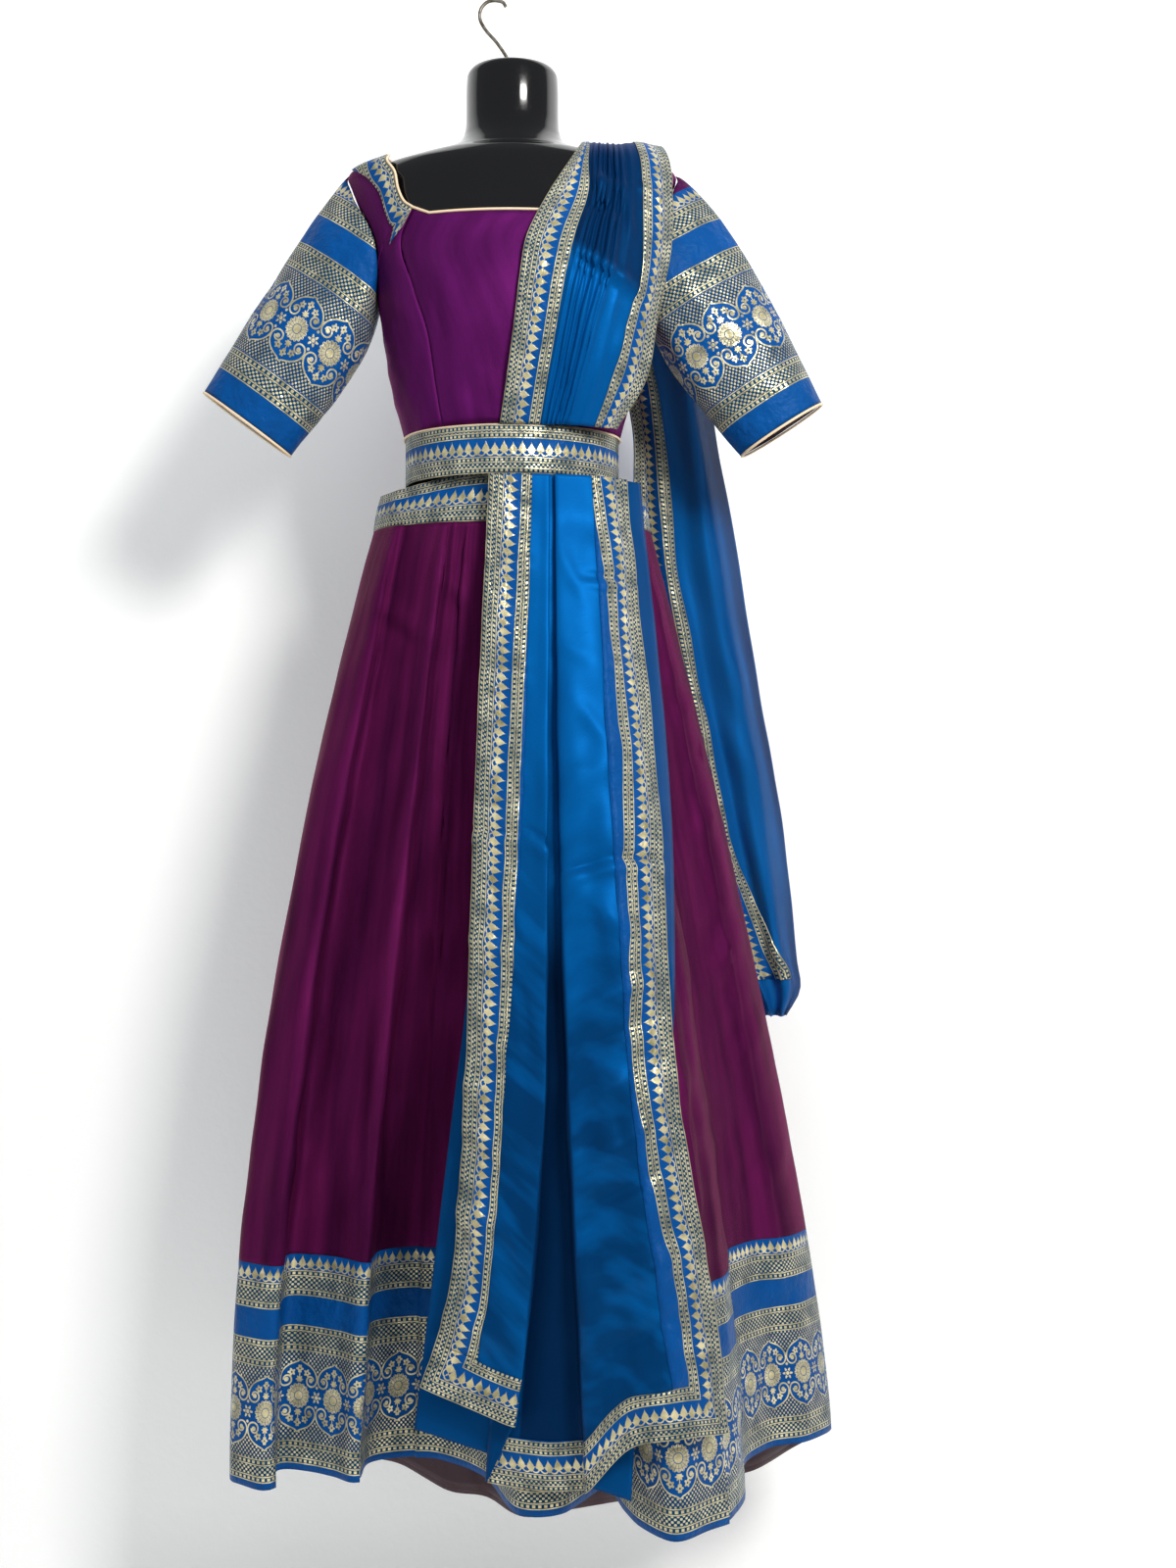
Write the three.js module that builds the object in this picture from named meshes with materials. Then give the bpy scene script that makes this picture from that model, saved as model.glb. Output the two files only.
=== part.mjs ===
// A lehenga set on a hanging torso form: pleated skirt with a brocade border, fitted blouse (choli),
// draped scarf (dupatta) with lace edges, and a belt. Millimetres, +Z up, +X to the viewer's right,
// front towards -Y. The origin is the point under the top of the hook's loop, where the set hangs.
import * as THREE from "three";

// ---- driving dimensions ----
const CENTRE_X = 20;            // the form hangs a little to the right of its hook
const SATIN = 1.5;              // wall of the satin pieces
const LACE = 1.2;               // wall of the lace bands
const SEAM = 0.35;              // gap kept between pieces that are sewn together
const BELT = { top: -504, bottom: -557, half: 121.5, front: 113, back: 92 };
const WAISTBAND = { top: -561, bottom: -607, half: 158, front: 101, back: 97 };
const BORDER_HEIGHT = 245;      // brocade border above the hem
const HEM_LIFT = 8;             // the lining ends this far above the hem
const BODICE_HEM = -500;
const PIPING = 3;

const COLOUR = {
  purple: 0x4b1446, blue: 0x0a5aa0, zari: 0x9a946e, cream: 0xe6cda0, maroon: 0x37101a,
  black: 0x0a0a0b, steel: 0x8c8478,
};

// ---- small helpers ----
const point = (x, y, z) => new THREE.Vector3(x, y, z);
const radians = THREE.MathUtils.degToRad;
const mix = THREE.MathUtils.lerp;
const span = (count, make) => Array.from({ length: count + 1 }, (_, i) => make(i / count, i));

// Rows of numbers with named columns.
function table(names, ...rows) {
  const keys = names.split(" ");
  return rows.map((row) => Object.fromEntries(keys.map((key, i) => [key, row[i]])));
}

// A smooth value of one column, read at `at` along the first-named column.
function along(rows, key, column, at) {
  const last = rows.length - 1;
  const sign = Math.sign(rows[last][key] - rows[0][key]);
  const next = rows.findIndex((row) => sign * row[key] >= sign * at);
  const i = next < 0 ? last - 1 : Math.max(next - 1, 0);
  const slope = (k) => {
    const before = rows[Math.max(k - 1, 0)];
    const after = rows[Math.min(k + 1, last)];
    return (after[column] - before[column]) / (after[key] - before[key]);
  };
  const width = rows[i + 1][key] - rows[i][key];
  const t = THREE.MathUtils.clamp((at - rows[i][key]) / width, 0, 1);
  const [a, b] = [rows[i][column], rows[i + 1][column]];
  const ease = t * t * (3 - 2 * t);
  return a + (b - a) * ease + width * (slope(i) * t * (1 - t) * (1 - t) - slope(i + 1) * t * t * (1 - t));
}

// Outward normals of a grid whose rows run down and whose columns run left to right seen from outside.
function normalsOf(rows, closed) {
  return rows.map((row, i) => row.map((_, j) => {
    const n = row.length;
    const down = rows[Math.min(i + 1, rows.length - 1)][j].clone().sub(rows[Math.max(i - 1, 0)][j]);
    const left = closed ? row[(j + n - 1) % n] : row[Math.max(j - 1, 0)];
    const right = closed ? row[(j + 1) % n] : row[Math.min(j + 1, n - 1)];
    return down.cross(right.clone().sub(left)).normalize();
  }));
}

// The same grid moved out (or in, when negative) along its normals.
function moved(rows, distance, closed = false) {
  const normals = normalsOf(rows, closed);
  return rows.map((row, i) => row.map((p, j) => p.clone().addScaledVector(normals[i][j], distance)));
}

// Geometry from a list of points and a list of quads or triangles.
function geometry(points, faces) {
  const made = new THREE.BufferGeometry();
  made.setAttribute("position", new THREE.Float32BufferAttribute(points.flatMap((p) => p.toArray()), 3));
  made.setIndex(faces.flatMap((f) => (f.length === 4 ? [f[0], f[1], f[2], f[0], f[2], f[3]] : f)));
  return made;
}

// A closed body between an outer and an inner grid, over the cells that `covers` picks.
function slab(outer, inner, closed = false, covers = () => true) {
  const [m, n] = [outer.length, outer[0].length];
  const columns = closed ? n : n - 1;
  const within = (i, j) => i >= 0 && i < m - 1 && (closed || (j >= 0 && j < columns));
  const inside = (i, j) => within(i, j) && covers(i, (j + n) % n);
  const points = [];
  const known = new Map();
  const at = (layer, i, j) => {
    const key = `${layer} ${i} ${j % n}`;
    if (!known.has(key)) known.set(key, points.push((layer ? inner : outer)[i][j % n]) - 1);
    return known.get(key);
  };
  const faces = [];
  const rim = (i, j, k, l) => faces.push([at(0, i, j), at(1, i, j), at(1, k, l), at(0, k, l)]);
  for (let i = 0; i < m - 1; i += 1) {
    for (let j = 0; j < columns; j += 1) {
      if (inside(i, j)) {
        faces.push([at(0, i, j), at(0, i + 1, j), at(0, i + 1, j + 1), at(0, i, j + 1)]);
        faces.push([at(1, i, j), at(1, i, j + 1), at(1, i + 1, j + 1), at(1, i + 1, j)]);
        if (!inside(i, j - 1)) rim(i, j, i + 1, j);
        if (!inside(i, j + 1)) rim(i + 1, j + 1, i, j + 1);
        if (!inside(i - 1, j)) rim(i, j + 1, i, j);
        if (!inside(i + 1, j)) rim(i + 1, j, i + 1, j + 1);
      }
    }
  }
  return geometry(points, faces);
}

// A cloth wall: the grid is its outer face and the thickness lies behind it.
const wall = (rows, thickness, closed = false) => slab(rows, moved(rows, -thickness, closed), closed);

// Lace sewn on a panel: it covers some of the panel's cells and lies just outside them.
const lace = (rows, covers) => slab(moved(rows, SEAM + LACE), moved(rows, SEAM), false, covers);

// A closed loft through rings, flat at both ends.
function loft(rings) {
  const [m, n] = [rings.length, rings[0].length];
  const faces = [];
  for (let i = 0; i < m - 1; i += 1) {
    for (let j = 0; j < n; j += 1) {
      const k = (j + 1) % n;
      faces.push([i * n + j, (i + 1) * n + j, (i + 1) * n + k, i * n + k]);
    }
  }
  const middle = (ring) => ring.reduce((sum, p) => sum.add(p), point(0, 0, 0)).divideScalar(n);
  const [top, bottom] = [m * n, m * n + 1];
  for (let j = 0; j < n; j += 1) {
    const k = (j + 1) % n;
    faces.push([top, j, k], [bottom, (m - 1) * n + k, (m - 1) * n + j]);
  }
  return geometry([...rings.flat(), middle(rings[0]), middle(rings[m - 1])], faces);
}

const group = new THREE.Group();

function add(name, shape, colour, roughness = 0.5, metalness = 0) {
  const material = new THREE.MeshStandardMaterial({ color: colour, roughness, metalness });
  const mesh = new THREE.Mesh(shape, material);
  mesh.name = name;
  group.add(mesh);
}

// A point on an oval ring: half width, front depth and back depth. 180 is left, 270 is the front.
function oval(size, angle, z) {
  const [c, s] = [Math.cos(radians(angle)), Math.sin(radians(angle))];
  return point(CENTRE_X + size.half * c, (s < 0 ? size.front : size.back) * s, z);
}

// ---- hook: 4 mm wire, bent over and cut at its free end ----
const WIRE = 4;
const HOOK_ROUTE = [
  [17, -77.6], [17, -70], [13, -62], [2, -46], [-11, -31], [-17, -19], [-16, -8], [-9, 0], [0, 2],
  [9, 0], [12.5, -5],
].map(([x, z]) => point(x, 0, z));

function hook() {
  const section = new THREE.Shape().absarc(0, 0, WIRE / 2, 0, 2 * Math.PI);
  const path = new THREE.CatmullRomCurve3(HOOK_ROUTE);
  return new THREE.ExtrudeGeometry(section, { steps: 26, curveSegments: 3, extrudePath: path });
}
add("hook", hook(), COLOUR.steel, 0.35, 1);

// ---- torso form: smooth, limbless, with a round neck and no base flange ----
const FORM = table("z half front back",
  [-78, 40, 38, 38], [-81, 48, 46, 46], [-90, 52, 50, 50], [-140, 53, 51, 52], [-153, 55, 53, 55],
  [-163, 60, 56, 60], [-172, 72, 60, 66], [-178, 92, 63, 71], [-185, 122, 70, 80],
  [-195, 155, 76, 86], [-215, 172, 82, 90], [-250, 168, 90, 92],
  [-300, 150, 105, 92], [-350, 147, 118, 92], [-400, 140, 112, 88], [-450, 125, 95, 80],
  [-500, 115, 84, 74], [-540, 117, 85, 77], [-560, 119, 86, 79], [-600, 133, 92, 86], [-660, 148, 94, 93],
  [-690, 151, 91, 92], [-708, 147, 85, 87], [-722, 136, 75, 77]);
const FORM_SIDES = 30;
const ring = (size, z, sides) => span(sides - 1, (_, j) => oval(size, (360 * j) / sides, z));
add("torso_form", loft(FORM.map((row) => ring(row, row.z, FORM_SIDES))), COLOUR.black, 0.12);

// ---- choli: a close ring table that stands off the form ----
const BODICE = table("z half front back",
  [-182, 138, 76, 84], [-188, 158, 79, 88], [-199, 185, 84, 94], [-215, 184, 90, 95.6], [-250, 176, 96, 96],
  [-293, 163, 109, 96], [-336, 154, 121, 96], [-390, 146, 119, 94], [-445, 137, 106, 89],
  [BODICE_HEM, 123, 99, 84]);
const bodiceSize = (z) => Object.fromEntries(
  ["half", "front", "back"].map((column) => [column, along(BODICE, "z", column, z)]));
const bodice = (angle, z) => oval(bodiceSize(z), angle, z);

// Edges of the right front panel as angle and height; the other three panels mirror them.
const UNDERARM = -336;
const NECK_FRONT = table("at angle z",
  [0, 180.5, -182.5], [0.16, 205, -187], [0.34, 219, -195], [0.5, 225, -212], [0.72, 226, -235],
  [0.88, 228, -251], [1, 232, -260]);
const NECK_BACK = table("at angle z",
  [0, 180.5, -182.5], [0.16, 205, -187], [0.34, 219, -195], [0.55, 227, -212], [0.8, 241, -232],
  [1, 269.7, -240]);
const PRINCESS = table("at angle z",
  [0, 232, -260], [0.2, 222, -297], [0.45, 226, -350], [0.7, 232, -405], [1, 233, BODICE_HEM]);
const CENTRE_BACK = table("at angle z", [0, 269.7, -240], [1, 269.7, BODICE_HEM]);
const ARMHOLE = table("at angle z",
  [0, 180.5, -199], [0.25, 191, -228], [0.5, 202, -264], [0.75, 203, -300], [0.9, 195, -325],
  [1, 180.5, UNDERARM]);
const FRONT_NECK_DROP = -269;
const edge = (rows, at) => ({ angle: along(rows, "at", "angle", at), z: along(rows, "at", "z", at) });

// A panel runs from the shoulder line down: first the strap, then the side of the body.
// Its columns are even, but for two beside the inner edge that are half a strap lace wide.
const STRAP_ROWS = 9;
const BODY_ROWS = 8;
const EVEN_COLUMNS = 4;
const STRAP_LACE_WIDTH = 26;
const CUT = 0.25;               // degrees left free beside each seam
function bodicePanel(neck, seam, { back = false, left = false }) {
  const turned = (angle) => (back ? 360 - angle : angle);
  const place = (angle) => (left ? 540 - turned(angle) : turned(angle));
  return span(STRAP_ROWS + BODY_ROWS, (_, i) => {
    const body = Math.max(i - STRAP_ROWS, 0) / BODY_ROWS;
    const inner = body > 0 ? edge(seam, body) : edge(neck, i / STRAP_ROWS);
    const side = { angle: 180, z: mix(UNDERARM, BODICE_HEM, body) };
    const outer = body > 0 ? side : edge(ARMHOLE, i / STRAP_ROWS);
    const spot = (across) => bodice(
      place(mix(outer.angle + CUT, inner.angle - CUT, across)), mix(outer.z, inner.z, across));
    const trim = STRAP_LACE_WIDTH / spot(0).distanceTo(spot(1));
    const columns = [
      ...span(EVEN_COLUMNS, (share) => spot(share * (1 - trim))), spot(1 - trim / 2), spot(1)];
    return back === left ? columns : columns.reverse();
  });
}
const sideRight = bodicePanel(NECK_FRONT, PRINCESS, {});
const sideLeft = bodicePanel(NECK_FRONT, PRINCESS, { left: true });
const backRight = bodicePanel(NECK_BACK, CENTRE_BACK, { back: true });
const backLeft = bodicePanel(NECK_BACK, CENTRE_BACK, { back: true, left: true });
add("choli_side_right", wall(sideRight, SATIN), COLOUR.purple);
add("choli_side_left", wall(sideLeft, SATIN), COLOUR.purple);
add("choli_back_right", wall(backRight, SATIN), COLOUR.purple);
add("choli_back_left", wall(backLeft, SATIN), COLOUR.purple);

// The centre front hangs between the princess seams under the square neck.
const FRONT_COLUMNS = 14;
const choliFront = span(BODY_ROWS, (down) => span(FRONT_COLUMNS, (across) => {
  const seam = edge(PRINCESS, down);
  const squareness = Math.min(3 * (1 - (2 * across - 1) ** 2), 1);
  const top = mix(PRINCESS[0].z, FRONT_NECK_DROP, squareness);
  const share = (seam.z - PRINCESS[0].z) / (BODICE_HEM - PRINCESS[0].z);
  return bodice(mix(seam.angle + CUT, 540 - seam.angle - CUT, across), mix(top, BODICE_HEM, share));
}));
add("choli_front", wall(choliFront, SATIN), COLOUR.purple);

// A thin round piping in a closed loop around `centre`.
const PIPING_SIDES = 4;
function piping(route, centre) {
  const n = route.length;
  const rings = route.map((p, i) => {
    const forward = route[(i + 1) % n].clone().sub(route[(i + n - 1) % n]).normalize();
    const out = p.clone().sub(centre);
    out.addScaledVector(forward, -out.dot(forward)).normalize();
    const side = forward.clone().cross(out);
    return span(PIPING_SIDES - 1, (_, k) => {
      const turn = (2 * Math.PI * k) / PIPING_SIDES;
      return p.clone().addScaledVector(out, (PIPING / 2) * Math.cos(turn))
        .addScaledVector(side, (PIPING / 2) * Math.sin(turn));
    });
  });
  const faces = [];
  for (let i = 0; i < n; i += 1) {
    for (let k = 0; k < PIPING_SIDES; k += 1) {
      const [a, b] = [i * PIPING_SIDES, ((i + 1) % n) * PIPING_SIDES];
      const next = (k + 1) % PIPING_SIDES;
      faces.push([a + k, a + next, b + next, b + k]);
    }
  }
  return geometry(rings.flat(), faces);
}

// The route of a piping just beyond a panel's edge; `within` are the next points inside the panel.
const PIPING_SEAT = PIPING / 2 + SEAM;
function beyond(route, within) {
  return route.map((p, i) => {
    const [before, after] = [route[Math.max(i - 1, 0)], route[Math.min(i + 1, route.length - 1)]];
    const forward = after.clone().sub(before).normalize();
    const out = p.clone().sub(within[i]);
    return out.addScaledVector(forward, -out.dot(forward)).setLength(PIPING_SEAT).add(p);
  });
}
const strapEdge = (rows, column, step) => beyond(
  ...[column, column + step].map((j) => rows.slice(0, STRAP_ROWS + 1).map((row) => row.at(j))));
const neckFront = beyond(choliFront[0], choliFront[1]).slice(1, -1);
const NECK_ROUTE = [
  ...strapEdge(sideRight, -1, -1), ...neckFront, ...strapEdge(sideLeft, 0, 1).reverse(),
  ...strapEdge(backLeft, -1, -1), ...strapEdge(backRight, 0, 1).slice(0, -1).reverse()];
add("neck_piping", piping(NECK_ROUTE, point(CENTRE_X, 0, -230)), COLOUR.cream, 0.6);
const HEM_STEPS = 40;
const HEM_ROUTE = span(HEM_STEPS - 1, (_, j) => {
  const p = bodice((360 * j) / HEM_STEPS, BODICE_HEM);
  p.z -= PIPING_SEAT;
  return p;
});
add("choli_hem_piping", piping(HEM_ROUTE, point(CENTRE_X, 0, BODICE_HEM)), COLOUR.cream, 0.6);

// The strap lace follows the neck edge of the strap and ends below the corner of the neck.
const STRAP_LACE_ROWS = STRAP_ROWS + 1;
add("strap_lace_right", lace(sideRight, (i, j) => i < STRAP_LACE_ROWS && j >= EVEN_COLUMNS),
  COLOUR.zari, 0.45, 0.4);

// ---- sleeves: open tubes from the armhole to the cuff, fuller at the cap and under the arm ----
const SLEEVES = table("side outerX outerZ innerX innerZ depth capRise",
  ["right", -331, -445, -233, -517, 36, 5], ["left", 373, -458, 281, -517, 36, 17]);
const UNDERARM_SAG = 20;
const SLEEVE_FULLNESS = 9;
const SLEEVE_SIDES = 20;
const SLEEVE_ROWS = 6;
const ARMHOLE_STAND = 2.2;      // the sleeve starts this far outside the armhole edge
function sleeve(size) {
  const left = size.side === "left";
  const sign = left ? 1 : -1;
  const outer = point(size.outerX, 0, size.outerZ);
  const inner = point(size.innerX, 0, size.innerZ);
  const half = outer.clone().sub(inner).multiplyScalar(0.5);
  const centre = outer.clone().add(inner).multiplyScalar(0.5);
  const outwards = half.clone().normalize();
  return span(SLEEVE_ROWS, (down) => {
    const loop = span(SLEEVE_SIDES - 1, (_, k) => {
      const turn = k / SLEEVE_SIDES;
      const front = turn <= 0.5;
      const at = front ? 2 * turn : 2 - 2 * turn;
      const hole = edge(ARMHOLE, at);
      const angle = front ? hole.angle : 360 - hole.angle;
      const start = bodice(left ? 540 - angle : angle, hole.z);
      start.x += sign * ARMHOLE_STAND;
      const [c, s] = [Math.cos(2 * Math.PI * turn), Math.sin(2 * Math.PI * turn)];
      const end = centre.clone().addScaledVector(half, c).add(point(0, -size.depth * s, 0));
      const swell = Math.sin(Math.PI * down ** 0.65);
      const rise = size.capRise * Math.max(c, 0) - UNDERARM_SAG * Math.max(-c, 0) ** 2;
      return start.lerp(end, down).addScaledVector(outwards, swell * rise)
        .add(point(0, -SLEEVE_FULLNESS * s * swell, 0));
    });
    return left ? [loop[0], ...loop.slice(1).reverse()] : loop;
  });
}
for (const size of SLEEVES) {
  const rows = sleeve(size);
  add(`sleeve_${size.side}`, wall(rows, SATIN, true), COLOUR.blue);
  const cuff = beyond(rows.at(-1), rows.at(-2));
  const middle = cuff.reduce((sum, p) => sum.add(p), point(0, 0, 0)).divideScalar(cuff.length);
  const route = size.side === "left" ? cuff.toReversed() : cuff;
  add(`cuff_piping_${size.side}`, piping(route, middle), COLOUR.cream, 0.6);
}

// ---- belt and skirt waistband: upright oval bands of lace ----
const BAND_SIDES = 44;
const band = (size) => wall([size.top, size.bottom].map((z) => ring(size, z, BAND_SIDES)), SATIN, true);
add("belt", band(BELT), COLOUR.zari, 0.45, 0.4);
add("waistband", band(WAISTBAND), COLOUR.zari, 0.45, 0.4);

// ---- skirt: a closed ring of stations, each a line from the waist to the hem ----
// `ledge` lifts a pressed pleat edge off the waist oval; `flare` sets how early the line swings out.
const SKIRT = table("angle ledge hemX hemY hemZ flare",
  [180, 0, -286, 6, -1672, 1.85],        // left side
  [197, 1, -292, -45, -1664, 1.85],
  [211, 3, -282, -80, -1660, 1.8],
  [220, 5, -245, -96, -1660, 1.7],      // first pleat edge
  [223, 0, -238, -44, -1660, 1.6],
  [231, 1, -206, -48, -1660, 1.5],
  [239, 3, -176, -60, -1660, 1.45],
  [246, 5, -149, -72, -1660, 1.4],      // second pleat edge
  [249, 0, -124, -40, -1660, 1.4],
  [253, 0, -86, -8, -1660, 1.4],
  [258, 2, -48, -22, -1660, 1.4],
  [263, 3, -8, -66, -1660, 1.4],
  [268, 3, 34, -172, -1660, 1.4],       // fold behind the front fall
  [273, 3, 78, -168, -1660, 1.4],
  [279, 0, 124, -104, -1660, 1.4],
  [285, 2, 158, -198, -1660, 1.4],
  [291, 3, 194, -240, -1660, 1.4],      // the big fold at the right of the front
  [300, 3, 236, -205, -1660, 1.4],
  [308, 5, 267, -150, -1660, 1.4],
  [312, 0, 285, -20, -1660, 1.4],
  [322, 2, 318, 24, -1660, 1.3],
  [336, 2, 362, 50, -1662, 1.3],
  [350, 1, 391, 86, -1664, 1.3],
  [4, 0, 398, 116, -1670, 1.3],         // right side
  [20, 0, 354, 134, -1700, 1.3],
  [34, 2, 306, 106, -1716, 1.3],
  [47, 0, 262, 130, -1736, 1.5],
  [59, 2, 214, 105, -1750, 1.5],
  [71, 0, 168, 126, -1759, 1.5],
  [82, 2, 122, 103, -1756, 1.5],
  [93, 0, 76, 122, -1772, 1.5],
  [104, 2, 30, 101, -1770, 1.5],
  [115, 0, -16, 120, -1754, 1.5],
  [126, 2, -62, 100, -1738, 1.5],
  [138, 0, -118, 114, -1712, 1.6],
  [151, 2, -176, 90, -1694, 1.7],
  [165, 0, -240, 66, -1680, 1.8]);
const SKIRT_TOP = WAISTBAND.bottom - SEAM;
const SAMPLES = 3;              // points on the ring for each station

// The skirt's ring at a share of the way from waist to hem, as a closed curve through its stations.
function skirtCurve(down) {
  return new THREE.CatmullRomCurve3(SKIRT.map((row) => {
    const size = { half: WAISTBAND.half + row.ledge, front: WAISTBAND.front + row.ledge,
      back: WAISTBAND.back + row.ledge };
    const swing = 1 - (1 - down) ** row.flare;
    const waist = oval(size, row.angle, SKIRT_TOP);
    return point(
      mix(waist.x, row.hemX, swing), mix(waist.y, row.hemY, swing), mix(SKIRT_TOP, row.hemZ, down));
  }), true, "centripetal");
}

// Cloth can't sink into the form: near it, the ring is pushed out to lie on it.
const FORM_STAND = SATIN + 1.2;
function offForm(p) {
  if (p.z < FORM.at(-1).z - FORM_STAND) return p;
  const [half, front, back] = ["half", "front", "back"].map(
    (column) => along(FORM, "z", column, p.z) + FORM_STAND);
  const reach = Math.hypot((p.x - CENTRE_X) / half, p.y / (p.y < 0 ? front : back));
  return reach < 1 ? point(CENTRE_X + (p.x - CENTRE_X) / reach, p.y / reach, p.z) : p;
}

// A wall of the skirt between two stations, at given shares of its height. One more column on each
// side sets the direction of the wall at the side seams.
function skirtGrid(from, to, shares, samples) {
  const columns = (to - from) * samples;
  const clearance = 0.015;      // share of a station left free at each side seam
  return shares.map((down) => {
    const curve = skirtCurve(down);
    return span(columns + 2, (_, j) => {
      const even = from + (j - 1) / samples;
      const station = j === 1 ? from + clearance : j === columns + 1 ? to - clearance : even;
      return offForm(curve.getPoint(((station + SKIRT.length) / SKIRT.length) % 1));
    });
  });
}
const trimmed = (rows) => rows.map((row) => row.slice(1, -1));
const skirtWall = (grid, out, thickness) => slab(
  trimmed(moved(grid, out)), trimmed(moved(grid, out - thickness)));

const RIGHT_SEAM = 23;          // station of the right side seam; the left one is at station 0
const LENGTH = SKIRT_TOP - SKIRT[0].hemZ;
const BORDER_SHARE = 1 - BORDER_HEIGHT / LENGTH;
const BODY_SHARES = [0, 0.06, 0.117, 0.17, 0.27, 0.4, 0.58, 0.78, 1].map(
  (share) => share * (BORDER_SHARE - SEAM / LENGTH));
const BORDER_SHARES = span(3, (share) => mix(BORDER_SHARE, 1, share));
const SIDES = table("name from to samples",
  ["front", 0, RIGHT_SEAM, 3], ["back", RIGHT_SEAM, SKIRT.length, 2]);
for (const side of SIDES) {
  const grid = (shares) => skirtGrid(side.from, side.to, shares, side.samples);
  add(`skirt_${side.name}`, skirtWall(grid(BODY_SHARES), 0, SATIN), COLOUR.purple);
  add(`border_${side.name}`, skirtWall(grid(BORDER_SHARES), 0, SATIN), COLOUR.zari, 0.45, 0.4);
}
const LINING_SHARES = span(3, (share) => mix(BORDER_SHARE, 1 - HEM_LIFT / LENGTH, share));
const liningFace = skirtGrid(RIGHT_SEAM, SKIRT.length, LINING_SHARES, SIDES[1].samples);
add("skirt_lining", skirtWall(liningFace, -SATIN - 0.8, LACE), COLOUR.maroon, 0.7);

// ---- front fall of the dupatta: it hangs over the folds it meets ----
// The depth of taut cloth that bridges the skirt's folds and stands off them by `stand`.
const HULL_SAMPLES = 3;
const hulls = new Map();
function overSkirt(x, z, stand) {
  const level = Math.round(z);
  if (!hulls.has(level)) {
    const share = THREE.MathUtils.clamp((SKIRT_TOP - level) / LENGTH, 0, 1);
    const front = skirtCurve(share).getPoints(SKIRT.length * HULL_SAMPLES).filter((p) => p.y < 0);
    hulls.set(level, front.sort((a, b) => a.x - b.x));
  }
  const folds = hulls.get(level);
  let best = { depth: 0, slope: 0 };
  for (const a of folds.filter((p) => p.x <= x)) {
    for (const b of folds.filter((p) => p.x > x)) {
      const depth = mix(a.y, b.y, (x - a.x) / (b.x - a.x));
      if (depth < best.depth) best = { depth, slope: (b.y - a.y) / (b.x - a.x) };
    }
  }
  return best.depth - stand * Math.hypot(1, best.slope);
}

const UNDER_STAND = table("z stand", [-500, 2], [-700, 4], [-1000, 6], [-1700, 8]);
const underDepth = (x, z) => overSkirt(x, z, along(UNDER_STAND, "z", "stand", z));
const FALL_TOP = BELT.bottom - SEAM;
const FALL_STAND = 1.2;         // gap between the fall and its under-layer
const FALL_LACE = 50;           // width of the lace
const FALL_ROWS = 12;
const PLEAT_DEPTH = table("z deep", [-500, 4.6], [-700, 7], [-950, 13], [-1700, 16]);
const MID = { high: -893, low: -1211, knee: -1420 };
// Each row is one line of the fall from top to end; `layer` is 0 at the face and 1 at the pleat's floor.
const FALL = table("name top high low knee end endZ layer",
  ["lace right outer", -1, -14, -23, -38, -68, -1521, 0],
  ["lace right inner", 46, 38, 20, 4, -20, -1537, 0],
  ["right panel", 56, 50, 40, 27, 6, -1545, 0],
  ["right fold", 64, 63, 62, 49, 31, -1551, 0],
  ["right fold tip", 65.2, 64.2, 63.2, 50.5, 32.5, -1552, 0.33],
  ["right fold under", 64, 63, 62, 49, 31, -1553, 0.66],
  ["hidden fold back", 52, 49, 34, 16, 2, -1615, 0.7],
  ["hidden fold tip", 50, 47, 32, 14, 0, -1617, 0.84],
  ["hidden fold front", 52, 49, 34, 16, 2, -1619, 1],
  ["pleat floor", 61, 65, 71, 71, 64, -1621, 1],
  ["left fold foot", 69, 74, 83, 93, 104, -1615, 1],
  ["left fold", 71, 76, 85, 95, 106, -1609, 0],
  ["left panel", 90, 103, 118, 138, 150, -1560, 0],
  ["lace left inner", 110, 129, 150, 178, 198, -1548, 0],
  ["lace left outer", 149, 180, 200, 234, 249, -1557, 0]);
const FALL_LEVELS = ["top", "high", "low", "knee", "end"];
function fallX(line, z) {
  const stops = [FALL_TOP, MID.high, MID.low, MID.knee, line.endZ];
  return along(FALL_LEVELS.map((key, i) => ({ z: stops[i], x: line[key] })), "z", "x", z);
}
function fallPoint(line, z) {
  const x = fallX(line, z);
  const deep = along(PLEAT_DEPTH, "z", "deep", z);
  const face = underDepth(x, z) - FALL_STAND - LACE - deep;
  return point(x, face + deep * line.layer, z);
}
const fall = span(FALL_ROWS + 1, (_, i) => FALL.map((line) => fallPoint(
  line, i > FALL_ROWS ? line.endZ : mix(FALL_TOP, line.endZ + FALL_LACE, i / FALL_ROWS))));
add("drape_front", wall(fall, LACE), COLOUR.blue);

// Lace runs down each long edge, turns the corner and follows the end of the cloth.
const LAST = FALL.length - 2;
const RIGHT_END = 3;            // cells of the end that each lace covers
const LEFT_END = 6;
add("drape_lace_right", lace(fall, (i, j) => j === 0 || (i === FALL_ROWS && j < RIGHT_END)),
  COLOUR.zari, 0.45, 0.4);
add("drape_lace_left", lace(fall, (i, j) => j === LAST || (i === FALL_ROWS && j > LAST - LEFT_END)),
  COLOUR.zari, 0.45, 0.4);

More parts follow.
